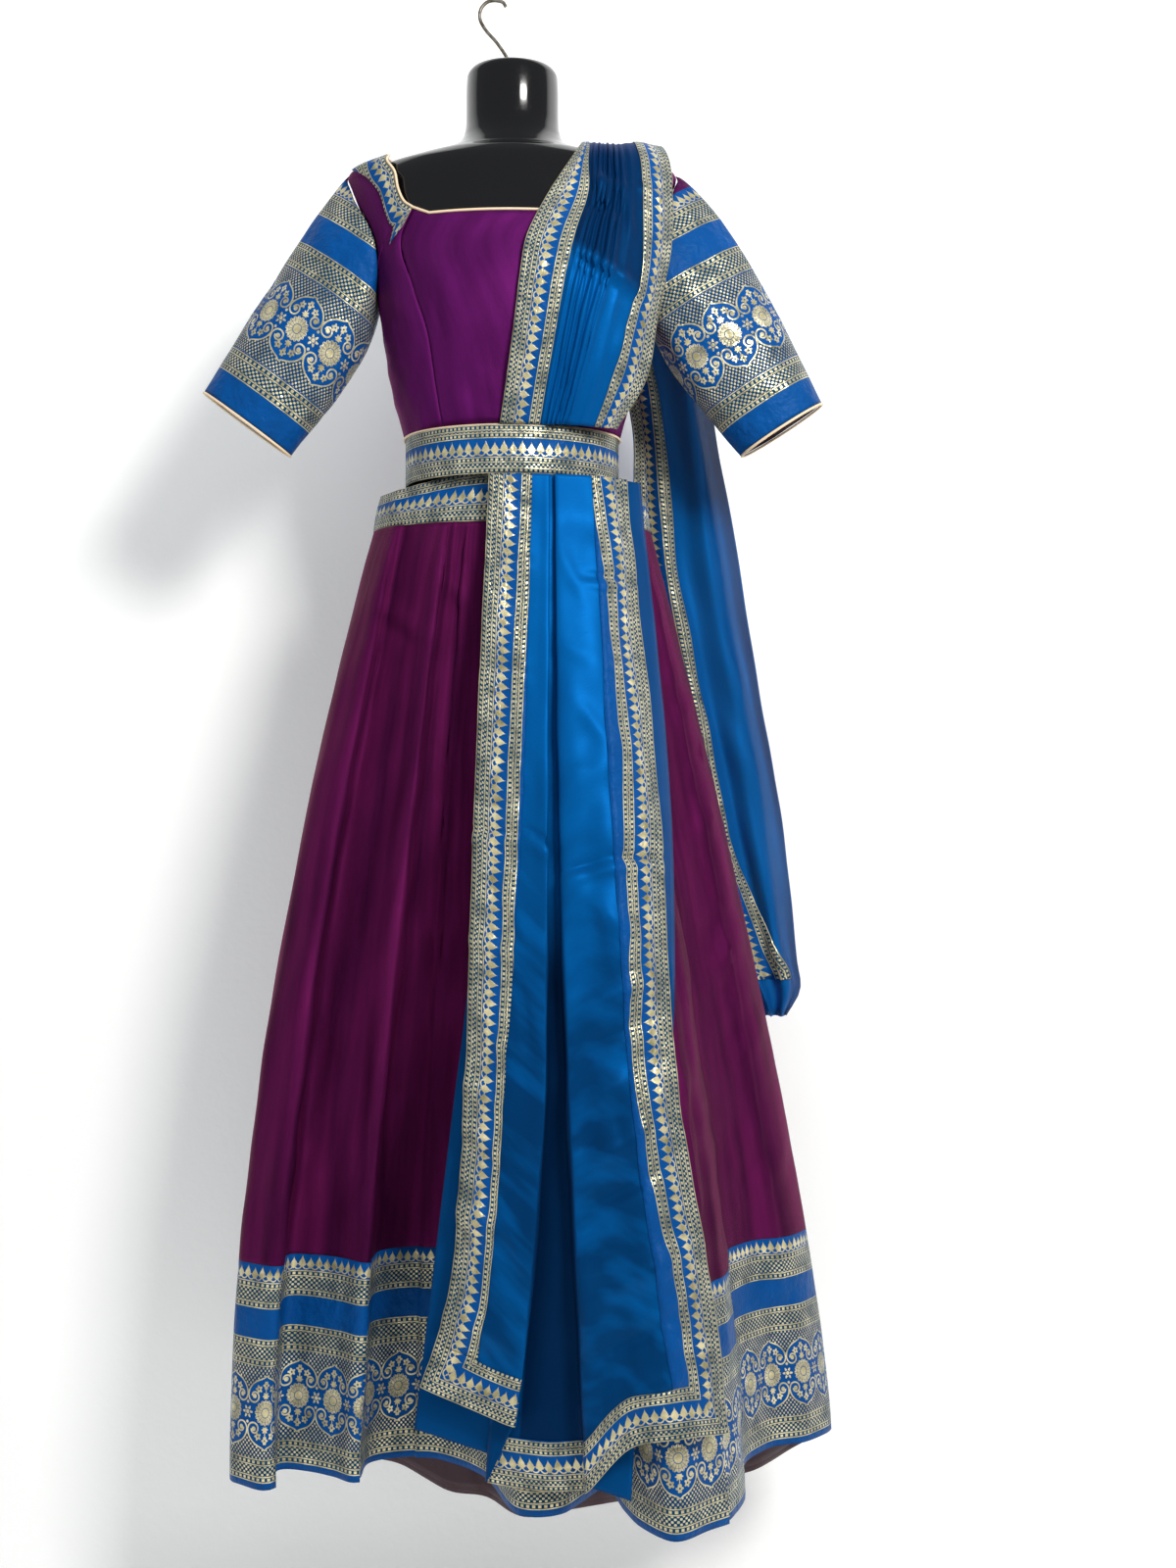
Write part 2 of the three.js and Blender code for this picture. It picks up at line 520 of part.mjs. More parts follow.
// The plain under-layer shows beside the fall and below its left corner.
const UNDER = table("z left right",
  [FALL_TOP, 6, 165], [-893, 0, 196], [-1211, -30, 200], [-1320, -50, 198], [-1574, -77, 160]);
const UNDER_COLUMNS = 10;
const UNDER_END_DROP = 48;      // its end slopes down to the right
const under = span(FALL_ROWS, (down) => span(UNDER_COLUMNS, (across) => {
  const level = mix(FALL_TOP, UNDER.at(-1).z, down);
  const x = mix(along(UNDER, "z", "left", level), along(UNDER, "z", "right", level), across);
  const z = level - UNDER_END_DROP * across * down ** 3;
  return point(x, underDepth(x, z), z);
}));
add("drape_under", wall(under, LACE), COLOUR.blue);

// ---- dupatta over the chest: pleats gathered from the belt up to the shoulder ----
const CHEST = table("z left laceLeft laceRight right depthLeft depthMiddle depthRight",
  [BELT.top + SEAM, 10, 54, 113, 138, -103, -106, -84],
  [-449, 19, 64, 133, 170, -113, -119, -78],
  [-388, 28, 75, 150, 181, -124, -130, -82],
  [-345, 33, 83, 163, 190, -127, -132, -82],
  [-299, 41, 93, 166, 198, -118, -121, -78],
  [-248, 64, 107, 166, 200, -98, -100, -76],
  [-208, 87, 107, 164, 197, -83, -83, -66],
  [-190, 96, 108, 160, 193, -69, -69, -54],
  [-177, 101, 108, 157, 188, -45, -45, -36],
  [-170, 104, 108, 155, 183, -8, -8, -8]);
const CHEST_ROWS = 13;
const CHEST_LACE_COLUMNS = 2;
const CHEST_PLEATS = 3;
const PLEAT_COLUMNS = 10;
const PLEAT_HEIGHT = 5;
function chestPoint(down, share, ripple) {
  const z = mix(CHEST[0].z, CHEST.at(-1).z, 1 - down);
  const at = (column) => along(CHEST, "z", column, z);
  const [left, right] = [at("left"), at("right")];
  const x = share < 0 ? mix(at("laceLeft"), left, -share)
    : share > 1 ? mix(at("laceRight"), right, share - 1) : mix(at("laceLeft"), at("laceRight"), share);
  const across = (x - left) / (right - left);
  const [a, b, c] = [at("depthLeft"), at("depthMiddle"), at("depthRight")];
  const depth = mix(across < 0.5 ? a : c, b, Math.sin(Math.PI * across));
  return point(x, depth - ripple, z);
}
const chest = span(CHEST_ROWS, (step) => {
  const down = step ** 1.7;     // shorter steps over the shoulder
  return [
    ...span(CHEST_LACE_COLUMNS, (k) => chestPoint(down, k - 1, 0)).slice(0, -1),
    ...span(PLEAT_COLUMNS, (share) => {
      const pleats = share < 0.75 ? Math.sin(Math.PI * CHEST_PLEATS * (share / 0.75)) ** 2 : 0;
      return chestPoint(down, share, PLEAT_HEIGHT * pleats);
    }),
    ...span(CHEST_LACE_COLUMNS, (k) => chestPoint(down, 1 + k, 0)).slice(1)];
});
add("drape_chest", wall(chest, LACE), COLOUR.blue);
const OUTER_LACE = CHEST_LACE_COLUMNS + PLEAT_COLUMNS;
add("chest_lace_inner", lace(chest, (_, j) => j < CHEST_LACE_COLUMNS), COLOUR.zari, 0.45, 0.4);
add("chest_lace_outer", lace(chest, (_, j) => j >= OUTER_LACE), COLOUR.zari, 0.45, 0.4);

// ---- tail of the dupatta: it falls from the shoulder behind the arm and the skirt ----
const TAIL = table("at left right depthLeft depthRight z",
  [0, 104, 183, -6.6, -6.6, -170], [0.015, 103, 188, 37, 28, -174], [0.035, 101, 195, 71, 53, -186],
  [0.06, 100, 204, 94, 76, -206], [0.1, 106, 215, 107, 96, -250], [0.17, 130, 236, 110, 108, -330],
  [0.28, 157, 257, 112, 118, -449], [0.39, 163, 278, 116, 130, -560], [0.47, 168, 292, 120, 138, -640],
  [0.59, 192, 313, 128, 146, -760], [0.72, 224, 338, 138, 152, -900], [0.84, 250, 354, 142, 156, -1015],
  [0.93, 280, 364, 146, 156, -1110], [0.97, 300, 367, 146, 155, -1146], [1, 322, 350, 148, 153, -1177]);
const TAIL_ROWS = 17;
const TAIL_COLUMNS = 8;
const TAIL_LACE_COLUMNS = 3;
const TAIL_FOLDS = 2.5;
const TAIL_FOLD_DEPTH = 7;
const tail = span(TAIL_ROWS, (_, i) => {
  const at = (i / TAIL_ROWS) ** 1.5;
  const read = (column) => along(TAIL, "at", column, at);
  return span(TAIL_COLUMNS, (across) => {
    const wave = TAIL_FOLD_DEPTH * Math.min(6 * at, 1) * Math.sin(2 * Math.PI * TAIL_FOLDS * across);
    const depth = mix(read("depthLeft"), read("depthRight"), across) + wave;
    return point(mix(read("left"), read("right"), across), depth, read("z"));
  });
});
tail.forEach((row) => row.reverse());
add("drape_tail", wall(tail, LACE), COLOUR.blue);
const TAIL_LACE_START = 4;      // the lace shows from below the shoulder
add("tail_lace", lace(tail, (i, j) => i >= TAIL_LACE_START && j >= TAIL_COLUMNS - TAIL_LACE_COLUMNS),
  COLOUR.zari, 0.45, 0.4);

export default group;
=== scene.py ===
# A lehenga set on a hanging torso form: pleated skirt with a brocade border, fitted blouse (choli),
# draped scarf (dupatta) with lace edges, and a belt. Metres, +Z up, the front towards -Y. The origin is
# the point under the top of the hook's loop, where the set hangs.
import math

import bpy
import numpy as np
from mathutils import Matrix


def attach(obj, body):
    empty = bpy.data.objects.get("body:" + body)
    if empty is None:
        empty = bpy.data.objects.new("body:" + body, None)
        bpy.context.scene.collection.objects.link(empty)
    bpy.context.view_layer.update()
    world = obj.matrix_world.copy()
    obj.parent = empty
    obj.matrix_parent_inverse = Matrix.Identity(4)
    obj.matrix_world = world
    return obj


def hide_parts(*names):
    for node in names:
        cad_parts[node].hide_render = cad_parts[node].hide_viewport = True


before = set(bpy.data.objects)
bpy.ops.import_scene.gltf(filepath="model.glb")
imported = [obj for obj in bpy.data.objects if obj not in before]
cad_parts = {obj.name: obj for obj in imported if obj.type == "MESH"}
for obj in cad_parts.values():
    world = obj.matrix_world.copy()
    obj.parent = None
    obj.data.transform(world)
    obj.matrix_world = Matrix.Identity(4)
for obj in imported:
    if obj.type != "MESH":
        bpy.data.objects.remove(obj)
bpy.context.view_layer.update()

# ---- Camera ----
# Level and about two metres in front, at waist height and a little to one side of the hook.
LENS_MM = 42.2
camera_data = bpy.data.cameras.new("camera")
camera_data.lens = LENS_MM
camera_data.sensor_width = 36
camera = bpy.data.objects.new("camera", camera_data)
camera.location = (0.1064, -2.1, -0.893)
camera.rotation_euler = (math.radians(90), 0, 0)
bpy.context.scene.collection.objects.link(camera)
bpy.context.scene.camera = camera

# ---- Room ----
# A pale painted wall that sweeps down into a pale floor, and soft lamps: a large one high on the
# right, a broad weak one on the left and one from behind for the edges.
WALL_Y = 0.30
FLOOR_Z = -2.08
SWEEP = 0.25
# sockets that share their name with others are called by number
OBJECT_PLACE = 3
BACKFACING = 6
MIX_COLOURS = (6, 7)
MIXED_COLOUR = 2
bpy.context.scene.view_settings.view_transform = "Standard"


class Shade:
    """One output in a material's nodes. Arithmetic on it adds Math nodes."""

    def __init__(self, tree, socket=None):
        self.tree = tree
        self.socket = socket

    def node(self, kind, settings=None, sockets=None, output=0):
        """Adds a node: its settings first, then the values or links of its sockets."""
        made = self.tree.nodes.new(kind)
        for name, value in (settings or {}).items():
            setattr(made, name, value)
        for name, value in (sockets or {}).items():
            if isinstance(value, Shade):
                self.tree.links.new(value.socket, made.inputs[name])
            else:
                made.inputs[name].default_value = value
        return Shade(self.tree, made.outputs[output])

    def math(self, operation, *values):
        return self.node("ShaderNodeMath", {"operation": operation}, dict(enumerate(values)))

    def __add__(self, other):
        return self.math("ADD", self, other)

    __radd__ = __add__

    def __sub__(self, other):
        return self.math("SUBTRACT", self, other)

    def __rsub__(self, other):
        return self.math("SUBTRACT", other, self)

    def __mul__(self, other):
        return self.math("MULTIPLY", self, other)

    __rmul__ = __mul__

    def __truediv__(self, other):
        return self.math("DIVIDE", self, other)

    def __pow__(self, other):
        return self.math("POWER", self, other)

    def __abs__(self):
        return self.math("ABSOLUTE", self)

    def least(self, other):
        return self.math("MINIMUM", self, other)

    def most(self, other):
        return self.math("MAXIMUM", self, other)

    def wave(self, pitch):
        """A cosine of this value that repeats after `pitch`."""
        turn = self * (2 * math.pi / pitch)
        return turn.math("COSINE", turn)

    def below(self, edge, soft=0.25):
        """1 where this value is below `edge`, 0 above it, with a soft step between them."""
        return self.node(
            "ShaderNodeMapRange", {"interpolation_type": "SMOOTHSTEP"},
            {"Value": self, "From Min": edge - soft, "From Max": edge + soft, "To Min": 1.0, "To Max": 0.0})

    def near(self, place, half, soft=0.25):
        """1 within `half` of `place`, 0 further off."""
        return abs(self - place).below(half, soft)

    def every(self, pitch):
        """This value's distance from the middle of the repeat that it lies in, with its sign."""
        count = self / pitch
        return self - count.math("ROUND", count) * pitch

    def mixed_value(self, value, other):
        """The number `value` where this one is 0, `other` where it is 1."""
        return value + self * (other - value)

    def mixed(self, colour, other):
        """`colour` where this value is 0, `other` where it is 1."""
        return self.node(
            "ShaderNodeMix", {"data_type": "RGBA"},
            {"Factor": self, MIX_COLOURS[0]: colour, MIX_COLOURS[1]: other}, output=MIXED_COLOUR)


def srgb(red, green, blue):
    """A colour for a socket, from its 0 to 255 values on a screen."""
    parts = [value / 255 for value in (red, green, blue)]
    return (*[p / 12.92 if p <= 0.04045 else ((p + 0.055) / 1.055) ** 2.4 for p in parts], 1.0)


def finish_of(name, sockets, links):
    """A material with one Principled shader: constants in `sockets`, and what `links(shade)` returns."""
    material = bpy.data.materials.new(name)
    material.use_nodes = True
    shader = material.node_tree.nodes["Principled BSDF"]
    for socket, value in sockets.items():
        shader.inputs[socket].default_value = value
    for socket, value in links(Shade(material.node_tree)).items():
        material.node_tree.links.new(value.socket, shader.inputs[socket])
    return material


def bumped(shade, height, distance):
    """The surface direction after raising it by `height`, where 1 is `distance` metres."""
    return shade.node("ShaderNodeBump", sockets={"Height": height, "Distance": distance})


def noise_of(shade, scale, detail=2.0, where=None):
    """Soft random values from 0 to 1; `scale` is per metre."""
    where = where or shade.node("ShaderNodeTexCoord", output=OBJECT_PLACE)
    return shade.node("ShaderNodeTexNoise", sockets={"Vector": where, "Scale": scale, "Detail": detail})


def painted_wall(shade):
    """Matt grain, and nothing on the reverse, so that the set can be looked at from behind."""
    grain = noise_of(shade, 60)
    reverse = shade.node("ShaderNodeNewGeometry", output=BACKFACING)
    return {"Normal": bumped(shade, grain, 0.0006), "Alpha": 1 - reverse}


def sweep_mesh():
    """The wall, a quarter round and the floor, as one strip."""
    profile = [(WALL_Y, 2.4)]
    for step in range(13):
        turn = math.radians(90 * step / 12)
        profile.append((WALL_Y - SWEEP + SWEEP * math.cos(turn), FLOOR_Z + SWEEP - SWEEP * math.sin(turn)))
    profile.append((-4.5, FLOOR_Z))
    points = [(x, y, z) for y, z in profile for x in (-4.0, 4.0)]
    faces = [(2 * k, 2 * k + 2, 2 * k + 3, 2 * k + 1) for k in range(len(profile) - 1)]
    mesh = bpy.data.meshes.new("sweep")
    mesh.from_pydata(points, [], faces)
    mesh.shade_smooth()
    return mesh


wall = bpy.data.objects.new("wall", sweep_mesh())
wall.data.materials.append(finish_of(
    "wall paint", {"Base Color": srgb(243, 243, 241), "Roughness": 0.9,
                   "Emission Color": srgb(250, 252, 255), "Emission Strength": 0.16}, painted_wall))
bpy.context.scene.collection.objects.link(wall)

LAMPS = (
    # name, place, aim, size, watts, colour
    ("window", (1.2, -2.2, 0.5), (0.05, 0, -0.9), 0.6, 70, (1.0, 0.985, 0.96)),
    ("room", (-2.0, -2.3, -0.3), (0.05, 0, -0.9), 1.6, 10, (0.93, 0.97, 1.0)),
    ("ceiling", (0.2, -1.0, 1.0), (0.1, 0.2, -1.2), 1.2, 12, (0.9, 0.95, 1.0)),
)
for name, place, aim, size, watts, colour in LAMPS:
    lamp = bpy.data.lights.new(name, "AREA")
    lamp.size = size
    lamp.energy = watts
    lamp.color = colour
    holder = bpy.data.objects.new(name, lamp)
    holder.location = place
    away = np.array(place) - np.array(aim)
    flat = math.hypot(away[0], away[1])
    holder.rotation_euler = (math.atan2(flat, away[2]), 0, math.atan2(away[0], -away[1]))
    holder.visible_glossy = name != "ceiling"
    bpy.context.scene.collection.objects.link(holder)

world = bpy.data.worlds.new("pale room")
world.use_nodes = True
world.node_tree.nodes["Background"].inputs["Color"].default_value = (0.93, 0.96, 1.0, 1.0)
world.node_tree.nodes["Background"].inputs["Strength"].default_value = 0.22
bpy.context.scene.world = world

# ---- Hook ----
# Four-millimetre steel wire, dull with age. It is bent over into an open loop, screwed into the top
# of the form's neck and cut off square at its free end.
WIRE = 0.004
HOOK_ROUTE = (
    (17, -77.6), (17, -70), (13, -62), (2, -46), (-11, -31), (-17, -19), (-16, -8), (-9, 0), (0, 2),
    (9, 0), (12.5, -5))


def smooth_through(points, at, closed=False):
    """Points on a smooth curve through `points`, read at `at`, which counts points from the first."""
    points = np.asarray(points, dtype=float)
    at = np.asarray(at, dtype=float)
    count = len(points)
    if closed:
        first = np.floor(at).astype(int)
        around = [points[(first + step) % count] for step in (-1, 0, 1, 2)]
    else:
        first = np.clip(np.floor(at).astype(int), 0, count - 2)
        padded = np.vstack([2 * points[0] - points[1], points, 2 * points[-1] - points[-2]])
        around = [padded[first + 1 + step] for step in (-1, 0, 1, 2)]
    share = (at - first)[..., None]
    before, start, end, after = around
    steps = [np.maximum(np.sum((b - a) ** 2, axis=-1, keepdims=True) ** 0.25, 1e-6)
             for a, b in ((before, start), (start, end), (end, after))]
    lead = (start - before) / steps[0] - (end - before) / (steps[0] + steps[1]) + (end - start) / steps[1]
    trail = (end - start) / steps[1] - (after - start) / (steps[1] + steps[2]) + (after - end) / steps[2]
    lead, trail = lead * steps[1], trail * steps[1]
    return (start + lead * share + (3 * (end - start) - 2 * lead - trail) * share ** 2
            + (2 * (start - end) + lead + trail) * share ** 3)


def tube(name, route, radius, material, closed=False, sides=3):
    """A round cord along a route in metres."""
    curve = bpy.data.curves.new(name, "CURVE")
    curve.dimensions = "3D"
    curve.bevel_depth = radius
    curve.bevel_resolution = sides
    curve.use_fill_caps = not closed
    line = curve.splines.new("POLY")
    line.points.add(len(route) - 1)
    line.points.foreach_set("co", np.column_stack([route, np.ones(len(route))]).ravel())
    line.use_cyclic_u = closed
    line.use_smooth = True
    curve.materials.append(material)
    made = bpy.data.objects.new(name, curve)
    bpy.context.scene.collection.objects.link(made)
    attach(made, "root")
    return made


def old_steel(shade):
    stain = noise_of(shade, 180, 4.0)
    return {"Base Color": stain.below(0.5, 0.25).mixed(srgb(150, 146, 138), srgb(92, 80, 66)),
            "Roughness": 0.3 + 0.3 * stain}


hook_points = np.array([(x, 0, z) for x, z in HOOK_ROUTE]) / 1000
hook = tube("wire_hook", smooth_through(hook_points, np.linspace(0, len(HOOK_ROUTE) - 1, 90)), WIRE / 2,
            finish_of("tarnished wire", {"Metallic": 1.0}, old_steel), sides=6)
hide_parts("hook")

# ---- Torso form ----
# A blow-moulded torso in thick black plastic with a glossy skin: round neck, no arms, no stand. Its
# base is closed and flat.
CENTRE_X = 0.020


def table(names, *rows):
    """Columns of numbers by name; lengths are given in millimetres and kept in metres."""
    keys = names.split(" ")
    scale = {key: 1 if key in ("at", "angle", "flare", "layer", "share", "deep") else 0.001 for key in keys}
    return {key: np.array([row[k] for row in rows], dtype=float) * scale[key] for k, key in enumerate(keys)}


def along(rows, key, column, at):
    """A smooth value of one column, read at `at` along the key column."""
    x, y = rows[key], rows[column]
    at = np.asarray(at, dtype=float)
    sign = np.sign(x[-1] - x[0])
    last = len(x) - 1
    k = np.clip(np.searchsorted(sign * x, sign * at, side="left") - 1, 0, last - 1)
    before, after = np.maximum(np.arange(last + 1) - 1, 0), np.minimum(np.arange(last + 1) + 1, last)
    slope = (y[after] - y[before]) / (x[after] - x[before])
    width = x[k + 1] - x[k]
    t = np.clip((at - x[k]) / width, 0, 1)
    ease = t * t * (3 - 2 * t)
    return (y[k] + (y[k + 1] - y[k]) * ease
            + width * (slope[k] * t * (1 - t) ** 2 - slope[k + 1] * t * t * (1 - t)))


def mix(a, b, share):
    return a + (b - a) * share


def oval(half, front, back, angle, z):
    """A point on an oval ring; 180 degrees is the left, 270 the front."""
    turn = np.radians(angle)
    depth = np.where(np.sin(turn) < 0, front, back)
    return np.stack(np.broadcast_arrays(CENTRE_X + half * np.cos(turn), depth * np.sin(turn), z), axis=-1)


def normals_of(rows, closed=False):
    """Outward directions of a grid: rows run down and columns left to right, seen from outside."""
    down = np.gradient(rows, axis=0)
    if closed:
        right = np.roll(rows, -1, axis=1) - np.roll(rows, 1, axis=1)
    else:
        right = np.gradient(rows, axis=1)
    out = np.cross(down, right)
    return out / np.maximum(np.linalg.norm(out, axis=-1, keepdims=True), 1e-12)


def moved(rows, distance, closed=False):
    distance = np.asarray(distance, dtype=float)
    return rows + normals_of(rows, closed) * (distance[..., None] if distance.ndim else distance)


def lengths(rows, axis):
    """How far along the cloth each point of the grid lies, down its rows (0) or across them (1)."""
    steps = np.linalg.norm(np.diff(rows, axis=axis), axis=-1)
    start = np.zeros_like(steps.take([0], axis=axis))
    return np.concatenate([start, np.cumsum(steps, axis=axis)], axis=axis)


def skin(name, rows, material, spots=None, closed=False):
    """A smooth mesh over a grid. `spots` are the points' places on the flat cloth, in metres."""
    count, across = rows.shape[:2]
    cells = across if closed else across - 1
    i, j = np.meshgrid(np.arange(count - 1), np.arange(cells), indexing="ij")
    corners = [(i, j), (i + 1, j), (i + 1, j + 1), (i, j + 1)]
    faces = np.stack([a * across + b % across for a, b in corners], axis=-1).reshape(-1, 4)
    mesh = bpy.data.meshes.new(name)
    mesh.from_pydata(rows.reshape(-1, 3).tolist(), [], faces.tolist())
    if spots is not None:
        layer = mesh.uv_layers.new(name="cloth")
        layer.data.foreach_set("uv", np.stack([spots[a, b] for a, b in corners], axis=2).ravel())
    mesh.shade_smooth()
    mesh.materials.append(material)
    made = bpy.data.objects.new(name, mesh)
    bpy.context.scene.collection.objects.link(made)
    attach(made, "root")
    return made


FORM = table("z half front back",
    (-78, 40, 38, 38), (-81, 48, 46, 46), (-90, 52, 50, 50), (-140, 53, 51, 52), (-153, 55, 53, 55),
    (-163, 60, 56, 60), (-172, 72, 60, 66), (-178, 92, 63, 71), (-185, 122, 70, 80),
    (-195, 155, 76, 86), (-215, 172, 82, 90), (-250, 168, 90, 92),
    (-300, 150, 105, 92), (-350, 147, 118, 92), (-400, 140, 112, 88), (-450, 125, 95, 80),
    (-500, 115, 84, 74), (-540, 117, 85, 77), (-560, 119, 86, 79), (-600, 133, 92, 86), (-660, 148, 94, 93),
    (-690, 151, 91, 92), (-708, 147, 85, 87), (-722, 136, 75, 77))
FORM_SIDES = 120


def form_rings():
    z = np.concatenate([mix(a, b, np.linspace(0, 1, 8, endpoint=False))
                        for a, b in zip(FORM["z"], FORM["z"][1:])] + [FORM["z"][-1:]])[:, None]
    # counted from the left, so that the rings run left to right on the front
    angle = np.arange(FORM_SIDES)[None, :] * 360 / FORM_SIDES + 180
    half, front, back = (along(FORM, "z", column, z) for column in ("half", "front", "back"))
    rings = oval(half, front, back, angle, z)
    middle = rings.mean(axis=1, keepdims=True)
    neck = [middle[0] + (rings[0] - middle[0]) * share for share in (0.02, 0.9)]
    base = [middle[-1] + (rings[-1] - middle[-1]) * share for share in (0.9, 0.02)]
    return np.concatenate([neck, rings, base])


def gloss_plastic(shade):
    dust = noise_of(shade, 900, 3.0)
    swirl = noise_of(shade, 9, 1.0)
    return {"Roughness": 0.07 + 0.07 * swirl + dust.below(0.36, 0.06) * 0.12,
            "Normal": bumped(shade, swirl, 0.0012)}


form = skin("gloss_torso", form_rings(), finish_of(
    "black gloss plastic", {"Base Color": srgb(9, 9, 11), "Specular IOR Level": 0.6, "Coat Weight": 0.4,
                            "Coat Roughness": 0.05}, gloss_plastic), closed=True)
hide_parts("torso_form")

# ---- Choli, the blouse ----
# Five panels of purple satin: a square-necked front between two princess seams, two side fronts that
# carry the straps, and two backs that close down the middle. The seams lie inside, so only their
# lines and small puckers show.
BODICE_HEM = -0.500
UNDERARM = -0.336
BODICE = table("z half front back",
    (-182, 138, 76, 84), (-188, 158, 79, 88), (-199, 185, 84, 94), (-215, 184, 90, 95.6),
    (-250, 176, 96, 96), (-293, 163, 109, 96), (-336, 154, 121, 96), (-390, 146, 119, 94),
    (-445, 137, 106, 89), (-500, 123, 99, 84))
NECK_FRONT = table("at angle z",
    (0, 180.5, -182.5), (0.16, 205, -187), (0.34, 219, -195), (0.5, 225, -212), (0.72, 226, -235),
    (0.88, 228, -251), (1, 232, -260))
NECK_BACK = table("at angle z",
    (0, 180.5, -182.5), (0.16, 205, -187), (0.34, 219, -195), (0.55, 227, -212), (0.8, 241, -232),
    (1, 269.7, -240))
PRINCESS = table("at angle z",
    (0, 232, -260), (0.2, 222, -297), (0.45, 226, -350), (0.7, 232, -405), (1, 233, -500))
CENTRE_BACK = table("at angle z", (0, 269.7, -240), (1, 269.7, -500))
ARMHOLE = table("at angle z",
    (0, 180.5, -199), (0.25, 191, -228), (0.5, 202, -264), (0.75, 203, -300), (0.9, 195, -325),
    (1, 180.5, -336))
FRONT_NECK_DROP = -0.269
STRAP_STEPS = 36
BODY_STEPS = 40
PANEL_STEPS = 16
FRONT_STEPS = 56
STRAP_LACE_STEPS = 6
STRAP_LACE_WIDTH = 0.026
SEAM_TURN = 0.1
RUMPLES = 9


def bodice(angle, z):
    half, front, back = (along(BODICE, "z", column, z) for column in ("half", "front", "back"))
    return oval(half, front, back, angle, z)


def edge(rows, at):
    return along(rows, "at", "angle", at), along(rows, "at", "z", at)


def bodice_panel(neck, seam, back=False, left=False):
    """From the shoulder down: first the strap, then the side of the body. Each panel stops SEAM_TURN
    degrees short of its seams."""
    strap, body = np.linspace(0, 1, STRAP_STEPS + 1), np.linspace(0, 1, BODY_STEPS + 1)[1:]
    inner = zip(edge(neck, strap), edge(seam, body))
    inner_angle, inner_z = (np.concatenate(pair)[:, None] for pair in inner)
    outer_angle, outer_z = edge(ARMHOLE, strap)
    outer_angle = np.concatenate([outer_angle, np.full(BODY_STEPS, 180.0)])[:, None]
    outer_z = np.concatenate([outer_z, mix(UNDERARM, BODICE_HEM, body)])[:, None]

    def spots(share):
        angle = mix(outer_angle + SEAM_TURN, inner_angle - SEAM_TURN, share)
        angle = 360 - angle if back else angle
        return bodice(540 - angle if left else angle, mix(outer_z, inner_z, share))

    span = np.linalg.norm(spots(np.array([[0.0]])) - spots(np.array([[1.0]])), axis=-1)
    trim = STRAP_LACE_WIDTH / span
    even = np.linspace(0, 1, PANEL_STEPS + 1)[None, :] * (1 - trim)
    lace_part = 1 - trim * np.linspace(1, 0, STRAP_LACE_STEPS + 1)[None, 1:]
    rows = spots(np.concatenate([even, lace_part], axis=1))
    return rows if back == left else rows[:, ::-1]


def creased(rows, creases, closed=False, front=True, free=1.0):
    """Raises soft creases. Each runs from (x0, z0) to (x1, z1), `high` at its middle and `wide` across,
    all in millimetres. `free` is 1 where the cloth is free to move, 0 where it is held."""
    lift = np.zeros(rows.shape[:2])
    side = rows[..., 1] < 0 if front else rows[..., 1] >= 0
    for x0, z0, x1, z1, high, wide in creases:
        start, run = np.array([x0, z0]) / 1000, np.array([x1 - x0, z1 - z0]) / 1000
        offset = rows[..., [0, 2]] - start
        share = np.clip((offset @ run) / (run @ run), 0, 1)
        off = np.linalg.norm(offset - share[..., None] * run, axis=-1) / (wide / 1000)
        lift += high / 1000 * np.exp(-off ** 2) * np.sin(np.pi * np.clip(0.08 + 0.84 * share, 0, 1)) * side
    return moved(rows, lift * free, closed)


def rumpled(rows, high, size, seed, closed=False, sewn=True, free=1.0):
    """Uneven soft swells of about `high` metres and `size` metres long, as cloth has that was worn.
    They die away at both sides where the cloth is sewn to its neighbours."""
    places = np.stack([lengths(rows, 1), lengths(rows, 0)], axis=-1)
    dice = np.random.default_rng(seed)
    lift = np.zeros(rows.shape[:2])
    for _ in range(RUMPLES):
        turn, phase = dice.uniform(-0.9, 0.9), dice.uniform(0, 2 * math.pi)
        wave = size * dice.uniform(0.6, 1.8)
        run = places[..., 0] * math.cos(turn) + places[..., 1] * math.sin(turn) * 0.7
        lift += np.sin(2 * math.pi * run / wave + phase + 1.5 * np.sin(places[..., 1] / size + phase))
    fade = free
    if sewn:
        ends = np.linspace(0, 1, rows.shape[1])[None, :]
        fade = np.minimum(1, 8 * np.minimum(ends, 1 - ends))
    down = np.linspace(0, 1, rows.shape[0])[:, None]
    return moved(rows, lift * fade * np.minimum(1, 14 * down) * high / math.sqrt(RUMPLES), closed)


def puckered(rows, column, high, pitch, reach):
    """Small puckers beside a seam along one edge column."""
    run = lengths(rows, 0)[:, [column]]
    off = np.abs(lengths(rows, 1) - lengths(rows, 1)[:, [column]])
    return moved(rows, -high * np.exp(-off / reach) * (1 + 0.35 * np.sin(2 * np.pi * run / pitch)))


CHOLI_FRONT_CREASES = (
    # x0 z0 x1 z1 high wide
    (-57, -345, -56, -420, -1.2, 5), (-40, -300, -52, -380, 1.5, 14), (-18, -330, 8, -420, 1.3, 16),
    (20, -280, 28, -360, 1.0, 18), (-30, -430, 10, -470, 1.6, 12), (40, -440, 60, -490, 1.2, 12),
    (-50, -455, -20, -495, 1.4, 9), (-60, -280, -20, -290, 0.8, 10), (-5, -372, -30, -440, -1.0, 12))
CHOLI_SIDE_CREASES = (
    (-130, -350, -88, -375, 1.6, 10), (-128, -385, -92, -400, 1.4, 9), (-126, -430, -86, -415, 1.5, 10),
    (-122, -465, -80, -450, 1.4, 9), (-105, -300, -84, -335, 1.2, 10), (160, -380, 128, -400, 1.4, 10),
    (160, -430, 122, -420, 1.4, 10), (150, -470, 118, -450, 1.2, 9))
